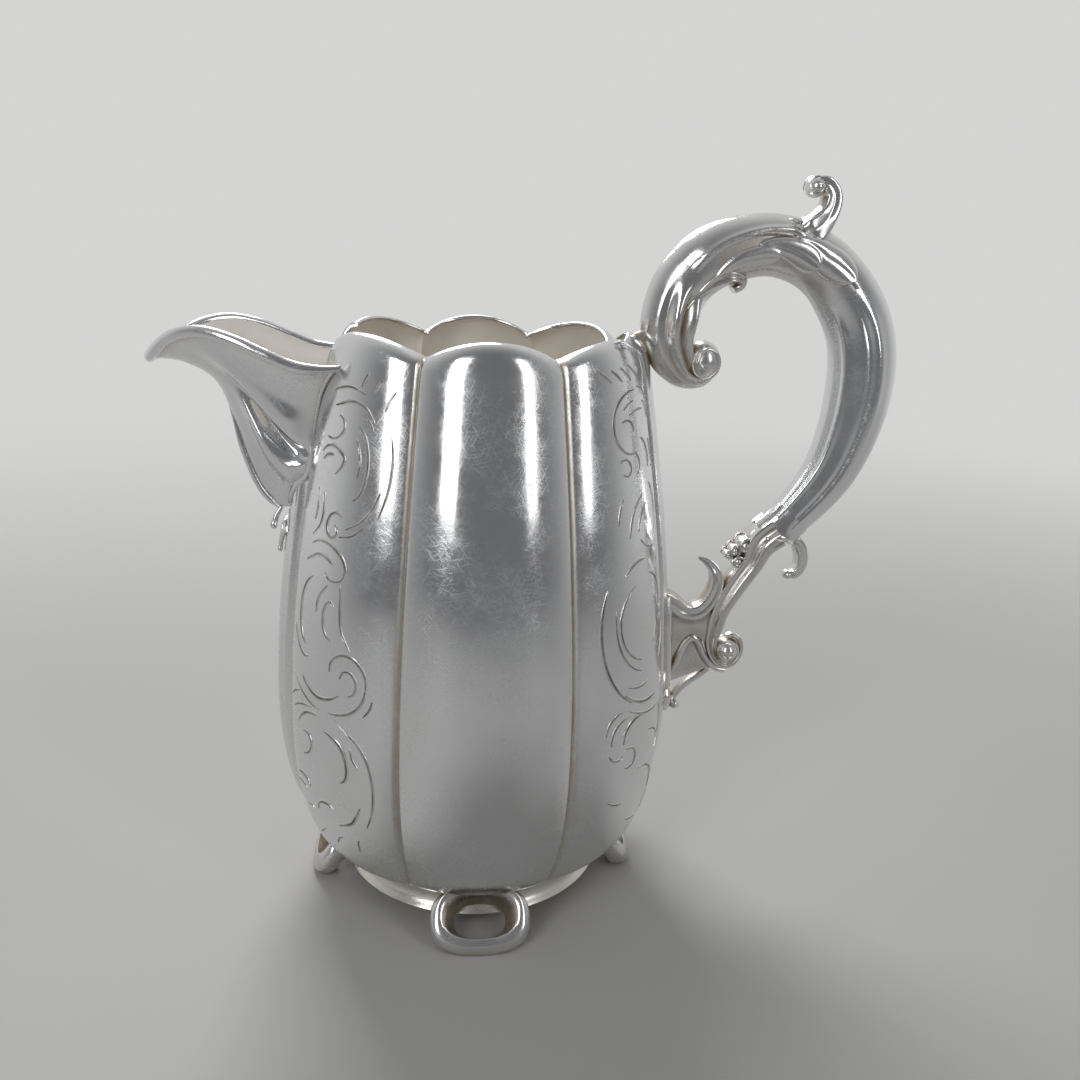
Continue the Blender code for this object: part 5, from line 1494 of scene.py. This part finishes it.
def plated(name, silver, tan, reach, blotch, density, gloss, waves):
    """Metal with tarnish and painted shade, hairlines and waves; gloss is the pair of roughness values it
    varies between.
    """
    material = bpy.data.materials.new(name)
    material.use_nodes = True
    tree = material.node_tree
    surface = tree.nodes["Principled BSDF"]
    recess = add(tree, "ShaderNodeAttribute", attribute_name="recess").outputs["Fac"]
    inside = add(tree, "ShaderNodeAttribute", attribute_name="inside").outputs["Fac"]
    stain_and_shade = placed(tree, tarnish_and_shade, Recess=recess, Reach=reach, Blotches=blotch)["Mask"]
    lines = placed(tree, hairlines, Density=density)["Mask"]
    rub = placed(tree, rubbed, Waves=waves)
    colour = blend(tree, inside, silver, INSIDE_PAINTED_LIGHT)
    feed(tree, blend(tree, stain_and_shade, colour, tan), surface.inputs["Base Color"])
    dull = span(tree, rub["Gloss"], 0.0, 1.0, *gloss)
    dull = reckon(tree, "ADD", dull, reckon(tree, "MULTIPLY", lines, HAIRLINE_DULL))
    dull = reckon(tree, "ADD", dull, reckon(tree, "MULTIPLY", stain_and_shade, TARNISH_AND_SHADE_DULL))
    dull = reckon(tree, "ADD", dull, reckon(tree, "MULTIPLY", inside, INSIDE_DULL), True)
    feed(tree, dull, surface.inputs["Roughness"])
    lost = reckon(tree, "MULTIPLY", inside, INSIDE_LOSS)
    feed(tree, reckon(tree, "SUBTRACT", 1.0, lost), surface.inputs["Metallic"])
    height = reckon(tree, "SUBTRACT", rub["Height"], reckon(tree, "MULTIPLY", lines, HAIRLINE_DEPTH))
    bump = add(tree, "ShaderNodeBump")
    bump.inputs["Strength"].default_value = BUMP_STRENGTH
    bump.inputs["Distance"].default_value = BUMP_HEIGHT
    feed(tree, height, bump.inputs["Height"])
    feed(tree, bump.outputs["Normal"], surface.inputs["Normal"])
    return material


# %% Four finishes, and which piece has which
# the second colour of each finish is where the mask of tarnish and painted shade takes it: partly tarnish,
# partly painted shade
WALL_SILVER = (0.74, 0.745, 0.75, 1.0)
WALL_TAN = (0.6, 0.55, 0.48, 1.0)
CAST_SILVER = (0.73, 0.725, 0.72, 1.0)
CAST_TAN = (0.4, 0.31, 0.21, 1.0)
BASE_SILVER = (0.72, 0.69, 0.64, 1.0)
BASE_TAN = (0.58, 0.48, 0.35, 1.0)
CUT_SILVER = (0.76, 0.76, 0.75, 1.0)
# near-black in the bottom of the cuts: partly tarnish, partly painted shade of the groove
CUT_DARK = (0.1, 0.08, 0.06, 1.0)
# after the two colours: reach of the painted shade from nearby metal, blotches of tarnish, hairlines, the two
# roughness values and waves
finishes = {
    "wall": plated("plate_wall", WALL_SILVER, WALL_TAN, 0.3, 0.12, 0.8, (0.1, 0.2), 1.0),
    "cast": plated("plate_cast", CAST_SILVER, CAST_TAN, 0.9, 0.16, 0.5, (0.12, 0.24), 0.6),
    "base": plated("plate_base", BASE_SILVER, BASE_TAN, 0.8, 0.4, 0.6, (0.18, 0.32), 0.8),
    "cut": plated("plate_cut", CUT_SILVER, CUT_DARK, 0.3, 0.1, 0.2, (0.18, 0.3), 0.3),
}
for name, obj in made.items():
    kind = "cast"
    if name.startswith("engraving"):
        kind = "cut"
    elif name.startswith(("body", "spout", "grip")):
        kind = "wall"
    elif name.startswith(("collar", "bottom")):
        kind = "base"
    obj.data.materials.append(finishes[kind])
print(len(finishes), "finishes on", len(made), "pieces")

# %% [markdown]
# ## Floor, light and camera
# Polished metal shows its surroundings, so the studio is what it looks like: a pale floor and a plain
# world, both darker towards the camera. A broad key lamp stands high behind the jug, a tall one at the
# front left is mirrored in the lobes, and a narrow, weaker one fills from the front right. A panorama
# picture would light metal too, but it would show in it as well.

# %% Tones of the studio
FRONT_TONE = (0.17, 0.172, 0.18, 1.0)
BACK_TONE = (0.66, 0.66, 0.655, 1.0)


def seen_tone(tree, across):
    """Tone of the studio in a direction: pale behind the jug, darker towards the camera."""
    return blend(tree, span(tree, across, -0.75, 0.55), FRONT_TONE, BACK_TONE)


def shown_rays(tree):
    """1 for rays that show the studio itself: from the camera, mirrored or through glass."""
    path = add(tree, "ShaderNodeLightPath")
    mirrored = reckon(tree, "MAXIMUM", path.outputs["Is Glossy Ray"], path.outputs["Is Transmission Ray"])
    return reckon(tree, "MAXIMUM", path.outputs["Is Camera Ray"], mirrored)


print("studio tones from", FRONT_TONE[:3], "to", BACK_TONE[:3])

# %% Floor
FLOOR_RADIUS = 16.0
FLOOR_SIDES = 128
FLOOR_LIGHT = (0.5, 0.497, 0.49, 1.0)
FLOOR_DARK = (0.47, 0.467, 0.46, 1.0)
FADE_START = 0.12
FADE_END = 0.7
floor_turn = np.linspace(0, 2 * math.pi, FLOOR_SIDES, endpoint=False)
floor_rim = FLOOR_RADIUS * np.column_stack([np.cos(floor_turn), np.sin(floor_turn), np.zeros(FLOOR_SIDES)])
floor_mesh = bpy.data.meshes.new("floor")
floor_mesh.from_pydata(floor_rim.tolist(), [], [list(range(FLOOR_SIDES))])
floor = bpy.data.objects.new("floor", floor_mesh)
bpy.context.scene.collection.objects.link(floor)

floor_look = bpy.data.materials.new("floor_pale")
floor_look.use_nodes = True
ground = floor_look.node_tree
surface = ground.nodes["Principled BSDF"]
surface.inputs["Roughness"].default_value = 0.75
floor_place = add(ground, "ShaderNodeTexCoord").outputs["Object"]
floor_colour = blend(ground, noise(ground, floor_place, 5.0), FLOOR_LIGHT, FLOOR_DARK)
feed(ground, floor_colour, surface.inputs["Base Color"])
away = add(ground, "ShaderNodeVectorMath", operation="LENGTH")
feed(ground, floor_place, away.inputs[0])
heading = add(ground, "ShaderNodeVectorMath", operation="NORMALIZE")
feed(ground, floor_place, heading.inputs[0])
heading_parts = add(ground, "ShaderNodeSeparateXYZ")
feed(ground, heading.outputs[0], heading_parts.inputs[0])
haze = add(ground, "ShaderNodeEmission")
feed(ground, seen_tone(ground, heading_parts.outputs["Y"]), haze.inputs["Color"])
fade_out = span(ground, away.outputs["Value"], FADE_START, FADE_END)
fade_out = reckon(ground, "MULTIPLY", fade_out, shown_rays(ground))
floor_mix = add(ground, "ShaderNodeMixShader")
feed(ground, fade_out, floor_mix.inputs[0])
feed(ground, surface.outputs[0], floor_mix.inputs[1])
feed(ground, haze.outputs[0], floor_mix.inputs[2])
feed(ground, floor_mix.outputs[0], ground.nodes["Material Output"].inputs["Surface"])
floor_mesh.materials.append(floor_look)
print("floor with a radius of", FLOOR_RADIUS, "m, fading from", FADE_START, "to", FADE_END, "m")

# %% World
WORLD_LIGHT = (0.8, 0.8, 0.8, 1.0)
WORLD_STRENGTH = 0.25
world = bpy.data.worlds.new("studio")
bpy.context.scene.world = world
world.use_nodes = True
sky = world.node_tree
backdrop = sky.nodes["Background"]
backdrop.inputs["Color"].default_value = WORLD_LIGHT
backdrop.inputs["Strength"].default_value = WORLD_STRENGTH
seen = add(sky, "ShaderNodeBackground")
direction = add(sky, "ShaderNodeSeparateXYZ")
feed(sky, add(sky, "ShaderNodeTexCoord").outputs["Generated"], direction.inputs[0])
feed(sky, seen_tone(sky, direction.outputs["Y"]), seen.inputs["Color"])
either = add(sky, "ShaderNodeMixShader")
feed(sky, shown_rays(sky), either.inputs[0])
feed(sky, backdrop.outputs[0], either.inputs[1])
feed(sky, seen.outputs[0], either.inputs[2])
feed(sky, either.outputs[0], sky.nodes["World Output"].inputs["Surface"])
bpy.context.scene.view_settings.view_transform = "Standard"
print("world lights the jug at a strength of", WORLD_STRENGTH)

# %% Lamps


def lamp(name, place, aim, wide, tall, watts):
    """Soft light of a width and height at a place, turned to look at the aim."""
    light = bpy.data.lights.new(name, "AREA")
    light.shape = "RECTANGLE"
    light.size, light.size_y = wide, tall
    light.energy = watts
    obj = bpy.data.objects.new(name, light)
    obj.location = place
    obj.rotation_euler = (Vector(aim) - Vector(place)).to_track_quat("-Z", "Y").to_euler()
    bpy.context.scene.collection.objects.link(obj)
    print(name, "lamp of", watts, "W")


lamp("key", (-0.2, 0.9, 1.0), (0, 0, 0.05), 0.6, 0.6, 12.0)
lamp("window", (-0.45, -0.6, 0.4), (0, 0, 0.09), 0.24, 0.6, 2.0)
lamp("fill", (0.5, -0.6, 0.4), (0, 0, 0.08), 0.14, 0.6, 1.1)

# %% Camera
# place in metres from the body's axis and turns in radians, fitted to the photograph
SENSOR = 36.0
FOCAL_PIXELS = 994.6
PHOTO_PIXELS = 1080
CAMERA_PLACE = (-0.0127, -0.215, 0.1476)
CAMERA_TURN = -0.1227
CAMERA_DOWN = 0.2974
CAMERA_ROLL = 0.0414
camera = bpy.data.cameras.new("camera")
camera.sensor_width = SENSOR
camera.lens = SENSOR * FOCAL_PIXELS / PHOTO_PIXELS
camera.clip_start = 0.01
eye = bpy.data.objects.new("camera", camera)
to_side = Matrix.Rotation(CAMERA_TURN, 4, "Z")
downward = Matrix.Rotation(math.pi / 2 - CAMERA_DOWN, 4, "X")
rolled_by = Matrix.Rotation(CAMERA_ROLL, 4, "Z")
aim = to_side @ downward @ rolled_by
eye.matrix_world = Matrix.Translation(Vector(CAMERA_PLACE) + Vector((AXIS_X, 0.0, 0.0))) @ aim
bpy.context.scene.collection.objects.link(eye)
bpy.context.scene.camera = eye
print("camera with a lens of", round(camera.lens, 2), "mm")
